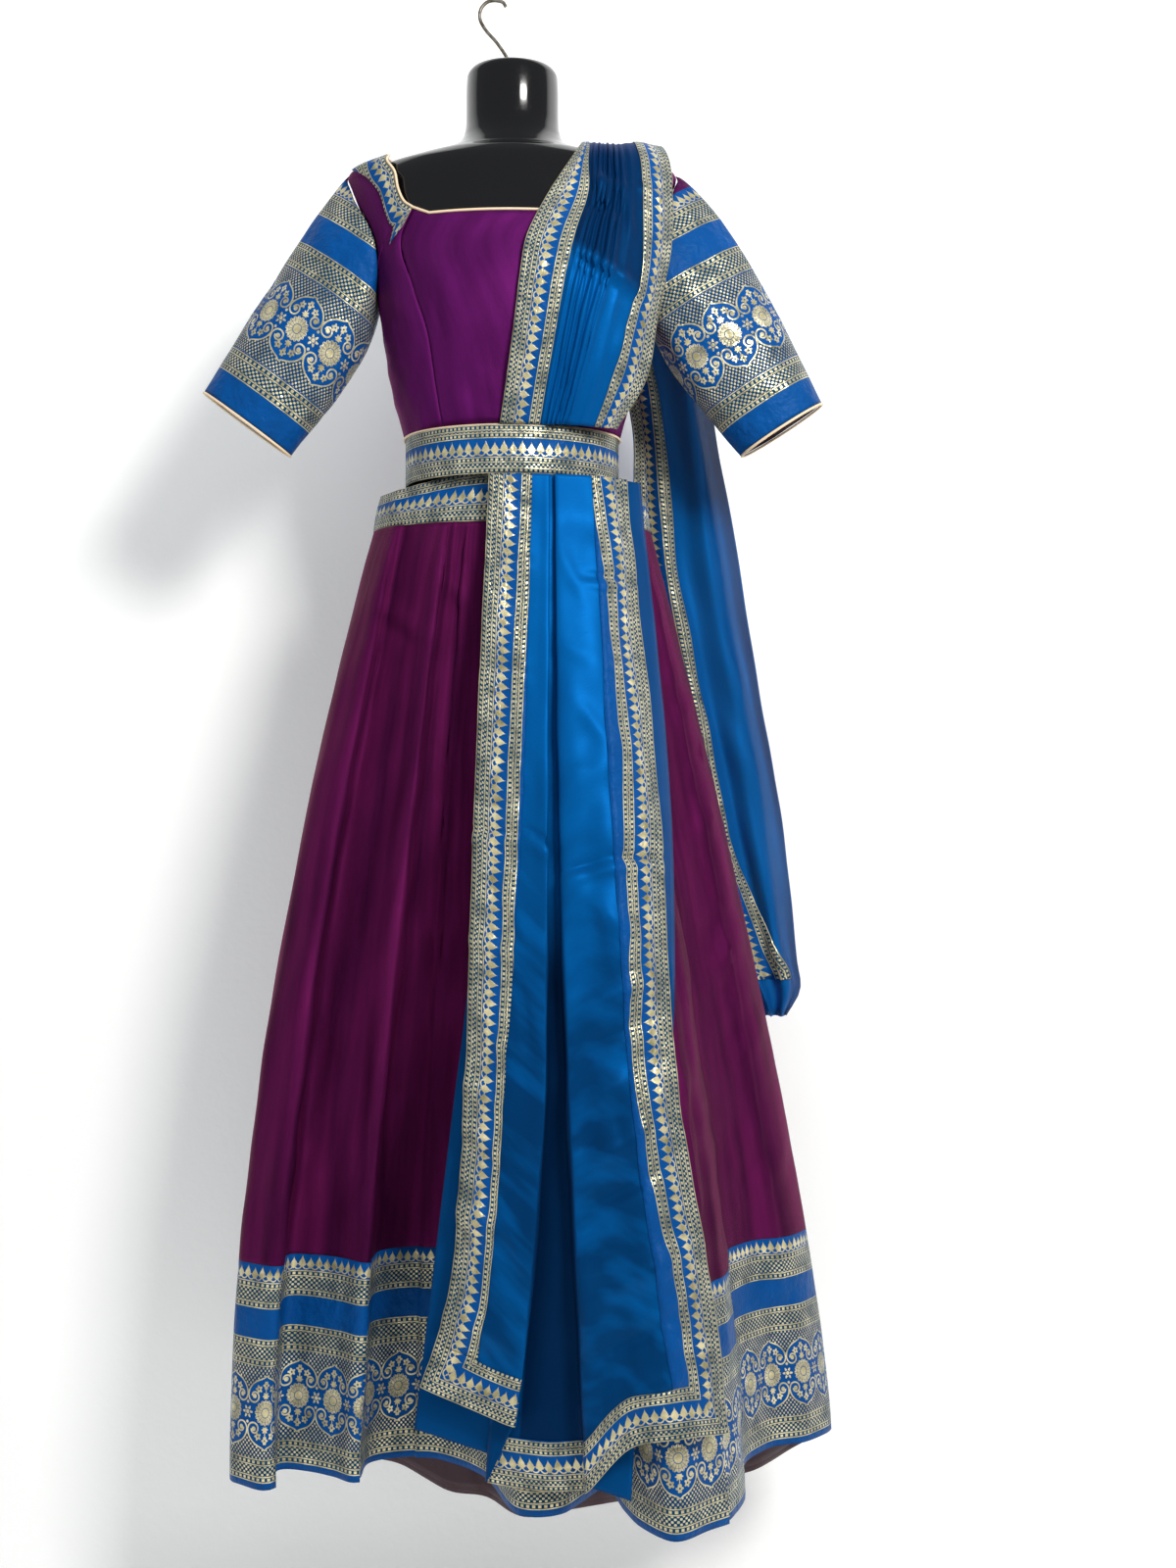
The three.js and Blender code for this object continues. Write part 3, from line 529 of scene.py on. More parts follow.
CHOLI_BACK_CREASES = (
    (-110, -330, -30, -350, 1.6, 14), (150, -335, 66, -352, 1.5, 14), (-95, -420, -20, -445, 1.7, 12),
    (135, -425, 58, -448, 1.6, 12), (-70, -470, -10, -480, 1.2, 10), (110, -470, 48, -482, 1.3, 10),
    (-60, -260, -80, -320, 1.2, 14), (98, -262, 120, -325, 1.2, 14))


def parts_of(shade, place):
    """The three numbers of a place."""
    split = shade.node("ShaderNodeSeparateXYZ", sockets={0: place})
    return [Shade(shade.tree, output) for output in split.socket.node.outputs]


def flat_place(shade):
    """Both places on the flat cloth, in metres."""
    return parts_of(shade, shade.node("ShaderNodeUVMap", {"uv_map": "cloth"}))[:2]


def satin(name, dark, light):
    """Satin of silk warp: it glows along its folds, with uneven threads and painted sheen in slow streaks.
    """
    def links(shade):
        across, down = flat_place(shade)
        threads = shade.node("ShaderNodeCombineXYZ", sockets={0: across * 3.0, 1: down * 0.25})
        slub = noise_of(shade, 420, 2.0, threads)
        lengthwise = shade.node("ShaderNodeCombineXYZ", sockets={0: across * 3.4, 1: down * 0.35})
        sheen_streak = noise_of(shade, 9, 3.0, lengthwise)
        weave = across.wave(0.0009) * down.wave(0.0007)
        # painted sheen: the long streaks lighten the colour towards `light` as satin highlights would; the
        # slubs are uneven thread
        return {"Base Color": (2.0 * sheen_streak + 0.35 * slub - 0.72).mixed(dark, light),
                "Roughness": 0.36 + 0.14 * slub,
                "Normal": bumped(shade, slub * 0.8 + weave * 0.2, 0.00022)}
    return finish_of(name, {
        "Specular IOR Level": 0.14, "Specular Tint": srgb(255, 60, 170), "Metallic": 0.42,
        "Anisotropic": 0.5}, links)


# painted light: the blouse's copy of the purple satin is brighter and more violet, for the light on its
# front
lit_bodice_satin = satin("violet satin", srgb(66, 16, 68), srgb(104, 28, 104))


def shell(made, thickness, lining=None):
    """Gives a skin the thickness of its cloth, behind the face that shows."""
    depth = made.modifiers.new("cloth thickness", "SOLIDIFY")
    depth.thickness = thickness
    depth.offset = -1
    if lining:
        made.data.materials.append(lining)
        depth.material_offset = 1
    return made


def plain_spots(rows):
    return np.stack([lengths(rows, 1), lengths(rows, 0)], axis=-1)


def cut_from(piece, rows, held, rests_on, closed=False, **more):
    """Works out the flat cloth that a piece's grid would make: its widest and its longest."""
    ring = np.concatenate([rows, rows[:, :1]], axis=1) if closed else rows
    across, down = ring[1:, 1:] - ring[:-1, :-1], ring[1:, :-1] - ring[:-1, 1:]
    width, length = lengths(ring, 1).max(), lengths(ring, 0).max()


SATIN_THICK = 0.0007
choli_rows = {
    "choli_side_right": bodice_panel(NECK_FRONT, PRINCESS),
    "choli_side_left": bodice_panel(NECK_FRONT, PRINCESS, left=True),
    "choli_back_right": bodice_panel(NECK_BACK, CENTRE_BACK, back=True),
    "choli_back_left": bodice_panel(NECK_BACK, CENTRE_BACK, back=True, left=True),
}


def choli_front_rows():
    down = np.linspace(0, 1, BODY_STEPS + 1)[:, None]
    across = np.linspace(0, 1, FRONT_STEPS + 1)[None, :]
    angle, z = edge(PRINCESS, down)
    squareness = np.minimum(3 * (1 - (2 * across - 1) ** 2), 1)
    top = mix(PRINCESS["z"][0], FRONT_NECK_DROP, squareness)
    share = (z - PRINCESS["z"][0]) / (BODICE_HEM - PRINCESS["z"][0])
    return bodice(mix(angle + SEAM_TURN, 540 - angle - SEAM_TURN, across), mix(top, BODICE_HEM, share))


choli_front_grid = choli_front_rows()
SEAM_COLUMN = {"choli_side_right": -1, "choli_side_left": 0, "choli_back_right": 0, "choli_back_left": -1}
PUCKER = 0.0006
PUCKER_REACH = 0.004
for name, rows in choli_rows.items():
    back = "back" in name
    rows = creased(rows, CHOLI_BACK_CREASES if back else CHOLI_SIDE_CREASES, front=not back)
    rows = rumpled(rows, 0.0005, 0.045, len(name) + back)
    rows = puckered(rows, SEAM_COLUMN[name], PUCKER, 0.011, PUCKER_REACH)
    panel = shell(skin(name + "_satin", rows, lit_bodice_satin, plain_spots(rows)), SATIN_THICK)
    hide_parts(name)
    cut_from(panel, rows, "stretched", ["gloss_torso"])
rows = rumpled(creased(choli_front_grid, CHOLI_FRONT_CREASES), 0.0006, 0.05, 4)
for column in (0, -1):
    rows = puckered(rows, column, PUCKER, 0.012, PUCKER_REACH)
choli_front = shell(skin("choli_front_satin", rows, lit_bodice_satin, plain_spots(rows)), SATIN_THICK)
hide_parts("choli_front")
cut_from(choli_front, rows, "stretched", ["gloss_torso"])

# ---- Piping ----
# A fine cream satin cord set into the neck, the blouse's hem and both cuffs.
PIPING = 0.003
SEAM = 0.00035
HEM_POINTS = 160


def cord_satin(shade):
    twist = noise_of(shade, 700, 2.0)
    return {"Base Color": twist.mixed(srgb(222, 190, 150), srgb(244, 222, 190)),
            "Normal": bumped(shade, twist, 0.0003)}


cream = finish_of("cream piping", {"Roughness": 0.45, "Sheen Weight": 0.2}, cord_satin)


def beyond(route, within):
    """The line of a piping just beyond a panel's edge; `within` are the next points inside the panel."""
    forward = np.gradient(route, axis=0)
    forward /= np.linalg.norm(forward, axis=-1, keepdims=True)
    out = route - within
    out -= forward * np.sum(out * forward, axis=-1, keepdims=True)
    return route + out / np.linalg.norm(out, axis=-1, keepdims=True) * (PIPING / 2 + SEAM)


def strap_edge(rows, column, step):
    strap = rows[:STRAP_STEPS + 1]
    return beyond(strap[:, column], strap[:, column + step])


neck_route = np.concatenate([
    strap_edge(choli_rows["choli_side_right"], -1, -1),
    beyond(choli_front_grid[0], choli_front_grid[1])[1:-1],
    strap_edge(choli_rows["choli_side_left"], 0, 1)[::-1],
    strap_edge(choli_rows["choli_back_left"], -1, -1),
    strap_edge(choli_rows["choli_back_right"], 0, 1)[:-1][::-1]])
neck_piping = tube("neck_cord", neck_route, PIPING / 2, cream, closed=True)
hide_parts("neck_piping")
hem_route = bodice(np.arange(HEM_POINTS) * 360 / HEM_POINTS, np.full(HEM_POINTS, BODICE_HEM))
hem_route = hem_route - np.array([0, 0, PIPING / 2 + SEAM])
hem_piping = tube("choli_hem_cord", hem_route, PIPING / 2, cream, closed=True)
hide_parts("choli_hem_piping")

# ---- Lace ribbon ----
# Woven ribbon five centimetres wide: gold thread over blue, with beads and small checks along both
# edges and a line of small lamp flames on plain blue between them. It edges the dupatta, and half of
# its width trims the strap.
BLUE = srgb(4, 78, 148)
BLUE_SHADE = srgb(6, 62, 120)
GROUND = srgb(4, 56, 90)
NET_GROUND = srgb(8, 56, 98)
GOLD = srgb(246, 234, 188)
GOLD_SHADE = srgb(146, 138, 100)
FLAME_PITCH = 10
FLAME_HEIGHT = 13.5
RIBBON_FINENESS = 1.2


def cloth_place(shade):
    """Both places on the flat cloth, in millimetres. The drawings count in millimetres."""
    return [part * 1000 for part in flat_place(shade)]


def gold_rows(run, rise, inside):
    """Beads between thin lines, then small checks; `inside` is how far a place is inside the band."""
    lines = inside.near(0.7, 0.6).most(inside.near(6.6, 0.6))
    beads = run.every(6.4).near(0, 1.7) * inside.near(3.65, 1.5)
    checks = (run.wave(6.2) * rise.wave(5.6)).below(-0.14, 0.08) * (1 - inside.below(7.6))
    return lines.most(beads).most(checks) * (1 - inside.below(0))


def flames(run, rise, base):
    """A row of onion-shaped flames on looped stems, every other one a little higher."""
    height = (rise - (base + 1.6) - run.wave(2 * FLAME_PITCH) * 0.8) / FLAME_HEIGHT
    share = height.most(0.001).least(1.0)
    bulge = share * math.pi
    drops = (abs(run.every(FLAME_PITCH)) - 6.7 * bulge.math("SINE", bulge) * (1 - share)).below(0, 0.3)
    drops = drops * (1 - height.below(0, 0.02)) * height.below(1, 0.02)
    loop = (((run + FLAME_PITCH / 2).every(FLAME_PITCH)) ** 2 + (rise - base - 4.6) ** 2) ** 0.5
    stems = loop.near(4.1, 0.7) * (rise - base).below(4.8)
    tendrils = loop.near(1.6, 0.45) * (1 - (rise - base).below(4.4))
    return drops.most(stems).most(tendrils)


def gold_cloth(name, drawing):
    """Brocade: `drawing` gives where gold thread floats, and the colour of the ground under it."""
    def links(shade):
        gold, ground = drawing(shade)
        glint = noise_of(shade, 1500, 1.0)
        fade = noise_of(shade, 55, 4.0)
        crumple = noise_of(shade, 90, 3.0)
        # worn thread and painted glints: the gold is lighter in small spots and slow patches, partly as
        # wear, partly as glints of light
        wear_and_painted_glint = (0.3 * glint + 2.2 * fade - 0.8).mixed(GOLD_SHADE, GOLD)
        return {"Base Color": gold.mixed(ground, wear_and_painted_glint),
                "Metallic": gold * 0.5,
                "Roughness": 0.46 - gold * (0.04 + 0.16 * glint),
                "Normal": bumped(shade, crumple * 9 + gold * 0.5 + glint * 0.15, 0.00030)}
    return finish_of(name, {"Specular IOR Level": 0.14, "Specular Tint": srgb(170, 205, 255)}, links)


def dyed_blue(shade):
    return noise_of(shade, 30, 2.0).mixed(BLUE_SHADE, BLUE)


def ribbon_drawing(shade):
    """The ribbon is drawn from its outer edge, and from its end where that is nearer, so that a corner
    is mitred."""
    side, end = cloth_place(shade)
    rise = side.least(end)
    run = side.most(end)
    bands = (8.6 - abs(rise - 8.6)).most(7.0 - abs(rise - 43.0))
    rows = gold_rows(run * RIBBON_FINENESS, rise * RIBBON_FINENESS, bands * RIBBON_FINENESS)
    gold = rows.most(flames(run, rise, 18.0))
    return gold, bands.below(0).mixed(GROUND, dyed_blue(shade))


ribbon = gold_cloth("gold lace ribbon", ribbon_drawing)
LACE_WIDTH = 0.050
LACE_THICK = 0.0006
LACE_LIFT = 0.0011
STRAP_LACE_LIFT = 0.0018
STRAP_LACE_TURN = 0.012
STRAP_LACE_ROWS = 41
# places on a ribbon whose end is hidden count from here, past any mitre
PAST_END = 0.1


def lace_strip(name, rows, spots, node, lift=LACE_LIFT):
    strip = skin(name, moved(rows, lift), ribbon, spots)
    shell(strip, LACE_THICK)
    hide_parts(node)
    return strip


strap_rows = choli_rows["choli_side_right"][:STRAP_LACE_ROWS, PANEL_STEPS:]
strap_spots = np.stack([STRAP_LACE_TURN + (lengths(strap_rows, 1)[:, [-1]] - lengths(strap_rows, 1)),
                        PAST_END + lengths(strap_rows, 0)], axis=-1)
strap_ribbon = lace_strip("strap_ribbon", strap_rows, strap_spots, "strap_lace_right", STRAP_LACE_LIFT)
cut_from(strap_ribbon, strap_rows, "stretched", ["choli_side_right_satin"])

# ---- Sleeves ----
# Elbow sleeves cut from the stiff end of the brocade, set into the armholes and lined with dark
# maroon. Their bands run square to the arm, so the cap cuts across the uppermost ones.
SLEEVES = {
    # outer edge and inner edge of the cuff, depth, rise of the cap, in millimetres
    "right": (-331, -445, -233, -517, 36, 5),
    "left": (373, -458, 281, -517, 36, 17),
}
UNDERARM_SAG = 0.020
SLEEVE_FULLNESS = 0.009
ARMHOLE_STAND = 0.0018
SLEEVE_SIDES = 96
SLEEVE_STEPS = 72
SLEEVE_THICK = 0.0008
SLEEVE_MEDALLIONS = 8
PURPLE = srgb(70, 16, 64)
MEDALLION = 45.0
SCROLL_ACROSS = 14.2
SCROLL_UP = 16.8


def flower(across, rise, size, petals, notch):
    """1 inside a flower of rounded petals around the place where both are 0."""
    reach = (across * across + rise * rise) ** 0.5
    turn = across.math("ARCTAN2", rise, across)
    rim = turn * petals
    return (reach - size * (1 - notch) - rim.math("COSINE", rim) * (size * notch)).below(0, 0.3), reach, turn


def medallions(run, rise):
    """Pointed medallions whose gold outlines curl into scrolls, with flowers in them and a net around
    them. Each is drawn from its middle, one quarter of it for all four."""
    across, up = abs(run.every(MEDALLION)), abs(rise) * 0.93
    beside = MEDALLION / 2 - across
    arch = (((across / 22) ** 2 + ((up - 17 - 3 * (1 - across / 22.5) ** 8) / 18) ** 2) ** 0.5 - 1) * 20
    above = 1 - up.below(SCROLL_UP)
    outline = arch.near(0, 0.8) * above
    scroll_reach = ((across - SCROLL_ACROSS) ** 2 + (up - SCROLL_UP) ** 2) ** 0.5
    scroll_turn = up.math("ARCTAN2", up - SCROLL_UP, SCROLL_ACROSS - across)
    scroll = (scroll_reach - 5.2 + scroll_turn * 0.7).near(0, 0.85).most(scroll_reach.below(2.4))
    big, reach, turn = flower(across, up, 13.6, 16, 0.06)
    veins = abs((turn * 8).math("SINE", turn * 8)).below(0.2, 0.12) * (1 - reach.below(5.5))
    big = big * (1 - veins) * (1 - reach.near(5.0, 0.4)) * (1 - reach.near(9.6, 0.3) * 0.6)
    fan = flower(across, up - 17.0, 4.4, 7, 0.2)[0] * (1 - up.below(14.6))
    top, top_reach, _ = flower(across, up - 28.2, 4.3, 5, 0.2)
    side, side_reach, _ = flower(across - 9.0, up - 24.2, 4.3, 5, 0.2)
    small = top * (1 - top_reach.below(1.0)) + side * (1 - side_reach.below(1.0))
    star, star_reach, _ = flower(beside, up, 6.6, 6, 0.3)
    star = star * (1 - star_reach.near(2.6, 0.5))
    bead = (beside ** 2 + (up - 10.2) ** 2).below(2.4, 0.8)
    stalk = across.near(0, 0.5) * up.near(22, 2.5)
    drawn = big.most(fan).most(small).most(star).most(bead).most(stalk).most(scroll)
    outside = (1 - arch.below(0.9)) * above
    net = (run.wave(5.0) * rise.wave(5.8)).below(-0.24, 0.14)
    return outline.most(outside.mixed_value(drawn, net)), outside


def banded(shade, bands, run, rise, field, half):
    """The gold and the ground of the wide brocade: bands of rows, and medallions around `field`."""
    drawn, outside = medallions(run, rise - field)
    within = (half - abs(rise - field)).below(0)
    gold = gold_rows(run, rise, bands).most(drawn * (1 - within))
    plain = (outside * (1 - within)).mixed(dyed_blue(shade), NET_GROUND)
    return gold, bands.below(0).mixed(GROUND, plain)


def sleeve_drawing(shade):
    run, rise = cloth_place(shade)
    bands = (14.0 - abs(rise - 46.0)).most(15.5 - abs(rise - 186.5)).most(15.0 - abs(rise - 254.0))
    gold, ground = banded(shade, bands, run, rise, 115.5, 54.5)
    return gold.most(flames(run, rise, 270.0)), rise.below(288.5, 0.4).mixed(PURPLE, ground)


def maroon_threads(shade):
    slub = noise_of(shade, 500, 2.0)
    return {"Base Color": slub.mixed(srgb(40, 10, 22), srgb(64, 18, 36)),
            "Normal": bumped(shade, slub, 0.0002)}


maroon = finish_of("maroon lining", {"Roughness": 0.55, "Sheen Weight": 0.2}, maroon_threads)
sleeve_brocade = gold_cloth("sleeve brocade", sleeve_drawing)
SLEEVE_CREASES = {
    "right": (
        (-190, -300, -262, -330, -2.0, 12), (-170, -330, -250, -390, 1.8, 14),
        (-300, -420, -240, -470, 1.5, 16), (-205, -250, -170, -300, 1.6, 12),
        (-190, -395, -235, -470, -1.8, 12), (-276, -350, -250, -430, 1.3, 18)),
    "left": (
        (215, -300, 290, -320, -2.0, 12), (214, -340, 292, -395, 1.8, 14),
        (350, -430, 296, -470, 1.5, 16), (250, -250, 215, -300, 1.6, 12),
        (230, -395, 282, -470, -1.8, 12), (322, -350, 300, -430, 1.3, 18)),
}


def sleeve_rows(side, size):
    outer_x, outer_z, inner_x, inner_z, depth, cap_rise = (value / 1000 for value in size)
    left = side == "left"
    down = np.linspace(0, 1, SLEEVE_STEPS + 1)[:, None]
    turn = np.arange(SLEEVE_SIDES)[None, :] / SLEEVE_SIDES
    front = turn <= 0.5
    angle, z = edge(ARMHOLE, np.where(front, 2 * turn, 2 - 2 * turn))
    angle = np.where(front, angle, 360 - angle)
    start = bodice(540 - angle if left else angle, z)
    start[..., 0] += ARMHOLE_STAND if left else -ARMHOLE_STAND
    outer, inner = np.array([outer_x, 0, outer_z]), np.array([inner_x, 0, inner_z])
    half, centre = (outer - inner) / 2, (outer + inner) / 2
    outwards = half / np.linalg.norm(half)
    c, s = np.cos(2 * np.pi * turn)[..., None], np.sin(2 * np.pi * turn)[..., None]
    end = centre + half * c + np.array([0, -1.0, 0]) * depth * s
    swell = np.sin(np.pi * down ** 0.65)[..., None]
    rise = cap_rise * np.maximum(c, 0) - UNDERARM_SAG * np.maximum(-c, 0) ** 2
    rows = (mix(start, end, down[..., None]) + outwards * swell * rise
            + np.array([0, -1.0, 0]) * SLEEVE_FULLNESS * s * swell)
    axis = np.array([-outwards[2], 0, outwards[0]]) * (1 if left else -1)
    height = (rows - centre) @ axis
    if left:
        rows, height = np.roll(rows[:, ::-1], 1, axis=1), np.roll(height[:, ::-1], 1, axis=1)
    run = np.linspace(0, SLEEVE_MEDALLIONS * MEDALLION / 1000, SLEEVE_SIDES + 1)[None, :] + 0.0 * down
    spots = np.stack([run, np.concatenate([height, height[:, :1]], axis=1)], axis=-1)
    return rows, spots


for side, size in SLEEVES.items():
    rows, spots = sleeve_rows(side, size)
    cuff = beyond(np.vstack([rows[-1], rows[-1][:2]]), np.vstack([rows[-2], rows[-2][:2]]))[1:-1]
    rows = creased(rows, SLEEVE_CREASES[side], closed=True)
    rows = creased(rows, SLEEVE_CREASES[side][1:4], closed=True, front=False)
    rows = rumpled(rows, 0.0007, 0.05, len(side), closed=True)
    made = skin(f"sleeve_{side}_brocade", rows, sleeve_brocade, spots, closed=True)
    shell(made, SLEEVE_THICK, maroon)
    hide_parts(f"sleeve_{side}")
    cut_from(made, rows, "draped", ["choli_side_" + side], closed=True)
    cord = tube(f"cuff_cord_{side}", cuff, PIPING / 2, cream, closed=True)
    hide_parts(f"cuff_piping_{side}")

# ---- Belt and waistband ----
# Two more lengths of the lace ribbon: one is a separate belt over the dupatta, the other is sewn to
# the top of the skirt. Both are backed so that they stand upright.
BELT = {"top": -0.504, "bottom": -0.557, "half": 0.1215, "front": 0.113, "back": 0.092, "rise": 0, "lean": 0}
WAISTBAND = {"top": -0.567, "bottom": -0.607, "half": 0.158, "front": 0.101, "back": 0.097,
             "rise": 0.019, "lean": 0.011}
BAND_SIDES = 220
BAND_STEPS = 10
BAND_THICK = 0.0012


def band(name, size, rests_on, dents):
    """A ring of ribbon, upright at its sides; `dents` are its slight kinks: angle, depth and slant."""
    step = np.linspace(0, 1, BAND_STEPS + 1)[:, None]
    angle = np.arange(BAND_SIDES)[None, :] * 360 / BAND_SIDES + 180
    top = size["top"] + size["rise"] * np.maximum(-np.sin(np.radians(angle)), 0) ** 4
    z = mix(top, size["bottom"], step)
    lean = size["lean"] * (1 - step) ** 1.5
    rows = oval(size["half"] - lean * 0.7, size["front"] - lean, size["back"] - lean, angle, z)
    lift = sum(depth / 1000 * np.exp(-((angle - at - slant * (z - top) * 1000) / 3.0) ** 2)
               for at, depth, slant in dents)
    rows = moved(rows, lift, closed=True)
    run = PAST_END + lengths(np.concatenate([rows, rows[:, :1]], axis=1), 1)
    spots = np.stack([LACE_WIDTH * (1 - step) + 0 * run, run], axis=-1)
    made = shell(skin(name + "_ribbon", rows, ribbon, spots, closed=True), BAND_THICK)
    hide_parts(name)
    cut_from(made, rows, "draped", [rests_on], closed=True)


band("belt", BELT, "gloss_torso", (
    (244, 0.7, 0.04), (292, -0.6, 0.06), (318, 0.8, -0.05), (335, -0.5, 0.02), (262, 0.4, -0.02)))
band("waistband", WAISTBAND, "gloss_torso", (
    (214, 1.0, 0.08), (233, -0.7, -0.05), (250, 0.7, 0.03), (190, 0.6, 0.02), (20, 0.8, 0.05),
    (60, -0.7, 0.02), (110, 0.7, -0.04), (150, 0.6, 0.03)))

# ---- Skirt ----
# Purple satin pressed into knife pleats at the waist, which open into deep folds at the hem. The
# cloth is a front and a back, sewn down both sides, with the brocade border sewn to its lower edge.
SKIRT = table("angle ledge hemX hemY hemZ flare",
    (180, 0, -286, 6, -1672, 1.85), (197, 1, -292, -45, -1664, 1.85), (211, 3, -282, -80, -1660, 1.8),
    (220, 5, -245, -96, -1660, 1.7), (223, 0, -238, -44, -1660, 1.6), (231, 1, -206, -48, -1660, 1.5),
    (239, 3, -176, -60, -1660, 1.45), (246, 5, -149, -74, -1660, 1.4), (249, 0, -138, -24, -1660, 1.4),
    (253, 0, -92, -2, -1660, 1.4), (258, 2, -48, -22, -1660, 1.4), (263, 3, -8, -66, -1660, 1.4),
    (268, 3, 34, -172, -1660, 1.4), (273, 3, 78, -168, -1660, 1.4), (279, 0, 124, -104, -1660, 1.4),
    (285, 2, 158, -198, -1660, 1.4), (291, 3, 194, -240, -1660, 1.4), (300, 3, 236, -205, -1660, 1.4),
    (308, 5, 267, -150, -1660, 1.4), (312, 0, 285, -20, -1660, 1.4), (322, 2, 318, 24, -1660, 1.3),
    (336, 2, 362, 50, -1662, 1.3), (350, 1, 391, 86, -1664, 1.3), (4, 0, 398, 116, -1670, 1.3),
    (20, 0, 354, 134, -1700, 1.3), (34, 2, 306, 106, -1716, 1.3), (47, 0, 262, 130, -1736, 1.5),
    (59, 2, 214, 105, -1750, 1.5), (71, 0, 168, 126, -1759, 1.5), (82, 2, 122, 103, -1756, 1.5),
    (93, 0, 76, 122, -1772, 1.5), (104, 2, 30, 101, -1770, 1.5), (115, 0, -16, 120, -1754, 1.5),
    (126, 2, -62, 100, -1738, 1.5), (138, 0, -118, 114, -1712, 1.6), (151, 2, -176, 90, -1694, 1.7),
    (165, 0, -240, 66, -1680, 1.8))
STATIONS = len(SKIRT["angle"])
SIDE_SEAM = 23
SKIRT_TOP = WAISTBAND["bottom"] - SEAM
SKIRT_LENGTH = SKIRT_TOP - SKIRT["hemZ"][0]
BORDER_HEIGHT = 0.245
BORDER_SHARE = 1 - BORDER_HEIGHT / SKIRT_LENGTH
BORDER_THICK = 0.0009
LINING_THICK = 0.0006
LINING_STAND = 0.0024
FORM_STAND = 0.0027
SEAM_STATIONS = 0.010
SEAM_ROW_SHARE = 0.04


def skirt_ring(down, at):
    """The skirt's ring at one share of its height, read at station numbers `at`."""
    swing = 1 - (1 - down) ** SKIRT["flare"]
    waist = oval(WAISTBAND["half"] + SKIRT["ledge"], WAISTBAND["front"] + SKIRT["ledge"],
                 WAISTBAND["back"] + SKIRT["ledge"], SKIRT["angle"], SKIRT_TOP)
    hem = np.stack([SKIRT["hemX"], SKIRT["hemY"], SKIRT["hemZ"]], axis=-1)
    points = mix(waist, hem, np.stack([swing, swing, np.full(STATIONS, down)], axis=-1))
    return smooth_through(points, at, closed=True)


def off_form(points):
    """Cloth lies on the form where it would sink into it."""
    x, y, z = points[..., 0] - CENTRE_X, points[..., 1], points[..., 2]
    half, front, back = (along(FORM, "z", column, z) + FORM_STAND for column in ("half", "front", "back"))
    reach = np.hypot(x / half, y / np.where(y < 0, front, back))
    reach = np.where((z > FORM["z"][-1] - FORM_STAND) & (reach < 1), reach, 1.0)
    return np.stack([CENTRE_X + x / reach, y / reach, z], axis=-1)


def skirt_rows(start, end, shares, samples):
    at = np.linspace(start + SEAM_STATIONS, end - SEAM_STATIONS, (end - start) * samples + 1)
    return off_form(np.stack([skirt_ring(down, at) for down in shares]))


def fold_grooves(rows, start, end, creases):
    """Creases that follow the cloth: station and share at both ends, `high` and `wide` in millimetres."""
    station = np.linspace(start, end, rows.shape[1])[None, :]
    share = (SKIRT_TOP - rows[..., 2]) / SKIRT_LENGTH
    spread = np.gradient(lengths(rows, 1), axis=1) / (station[0, 1] - station[0, 0])
    lift = np.zeros(rows.shape[:2])
    for from_station, from_share, to_station, to_share, high, wide in creases:
        step = np.clip((share - from_share) / (to_share - from_share), 0, 1)
        place = mix(from_station, to_station, step)
        off = (station - place) * spread / (wide / 1000)
        ends = np.clip((share - from_share) / 0.05, 0, 1) * np.clip((to_share - share) / 0.08, 0, 1)
        lift += high / 1000 * np.exp(-off ** 2) * np.clip(ends, 0, 1)
    return moved(rows, lift)


def knife_pleats(rows, start, end, pleats):
    """Lifts the cloth towards each pressed edge, then drops it at once."""
    station = np.linspace(start, end, rows.shape[1])[None, :]
    share = (SKIRT_TOP - rows[..., 2]) / SKIRT_LENGTH
    spread = np.gradient(lengths(rows, 1), axis=1) / (station[0, 1] - station[0, 0])
    lift = np.zeros(rows.shape[:2])
    for place, side, high, reach, last_share in pleats:
        off = (place - station) * spread * side * 1000
        rise = np.where(off >= 0, np.exp(-np.maximum(off, 0) / reach), 0.0)
        lift += high / 1000 * rise * np.clip(share / 0.03, 0, 1) * np.clip((last_share - share) / 0.2, 0, 1)
    return moved(rows, lift)


KNIFE_PLEATS = {
    # station of the edge, 1 where the pleat lies to its left, lift and reach in millimetres, and the
    # share of the height where it ends
    "front": ((3.1, 1, 8.0, 34, 1.3), (7.1, 1, 9.0, 36, 1.3), (9.1, -1, 4.0, 16, 1.3),
              (17.3, 1, 5.0, 20, 1.3), (18.4, 1, 6.0, 26, 1.3), (20.8, 1, 3.5, 22, 0.9)),
    "back": ((25.3, 1, 4.0, 24, 1.0), (27.3, 1, 4.5, 22, 0.8), (29.3, -1, 4.5, 22, 0.8),
             (31.4, -1, 4.0, 24, 1.0), (34.2, -1, 3.5, 24, 0.9)),
}
FRONT_FOLDS = (
    # station share station share high wide
    (0.9, 0.05, 1.1, 0.75, -1.4, 12), (2.0, 0.10, 1.9, 0.9, 1.4, 16), (5.4, 0.25, 5.2, 0.95, -1.6, 26),
    (4.4, 0.04, 4.5, 0.40, 0.9, 12), (8.4, 0.02, 8.6, 0.55, 1.6, 10), (9.6, 0.10, 9.5, 1.0, -2.4, 12),
    (10.6, 0.02, 10.4, 0.8, 1.6, 12), (16.4, 0.10, 16.6, 0.9, 1.5, 15), (17.8, 0.05, 17.7, 1.0, -2.8, 9),
    (19.6, 0.20, 19.5, 1.0, 2.0, 22), (20.4, 0.05, 20.6, 0.7, -2.4, 12), (21.6, 0.12, 21.1, 1.0, 2.0, 20))
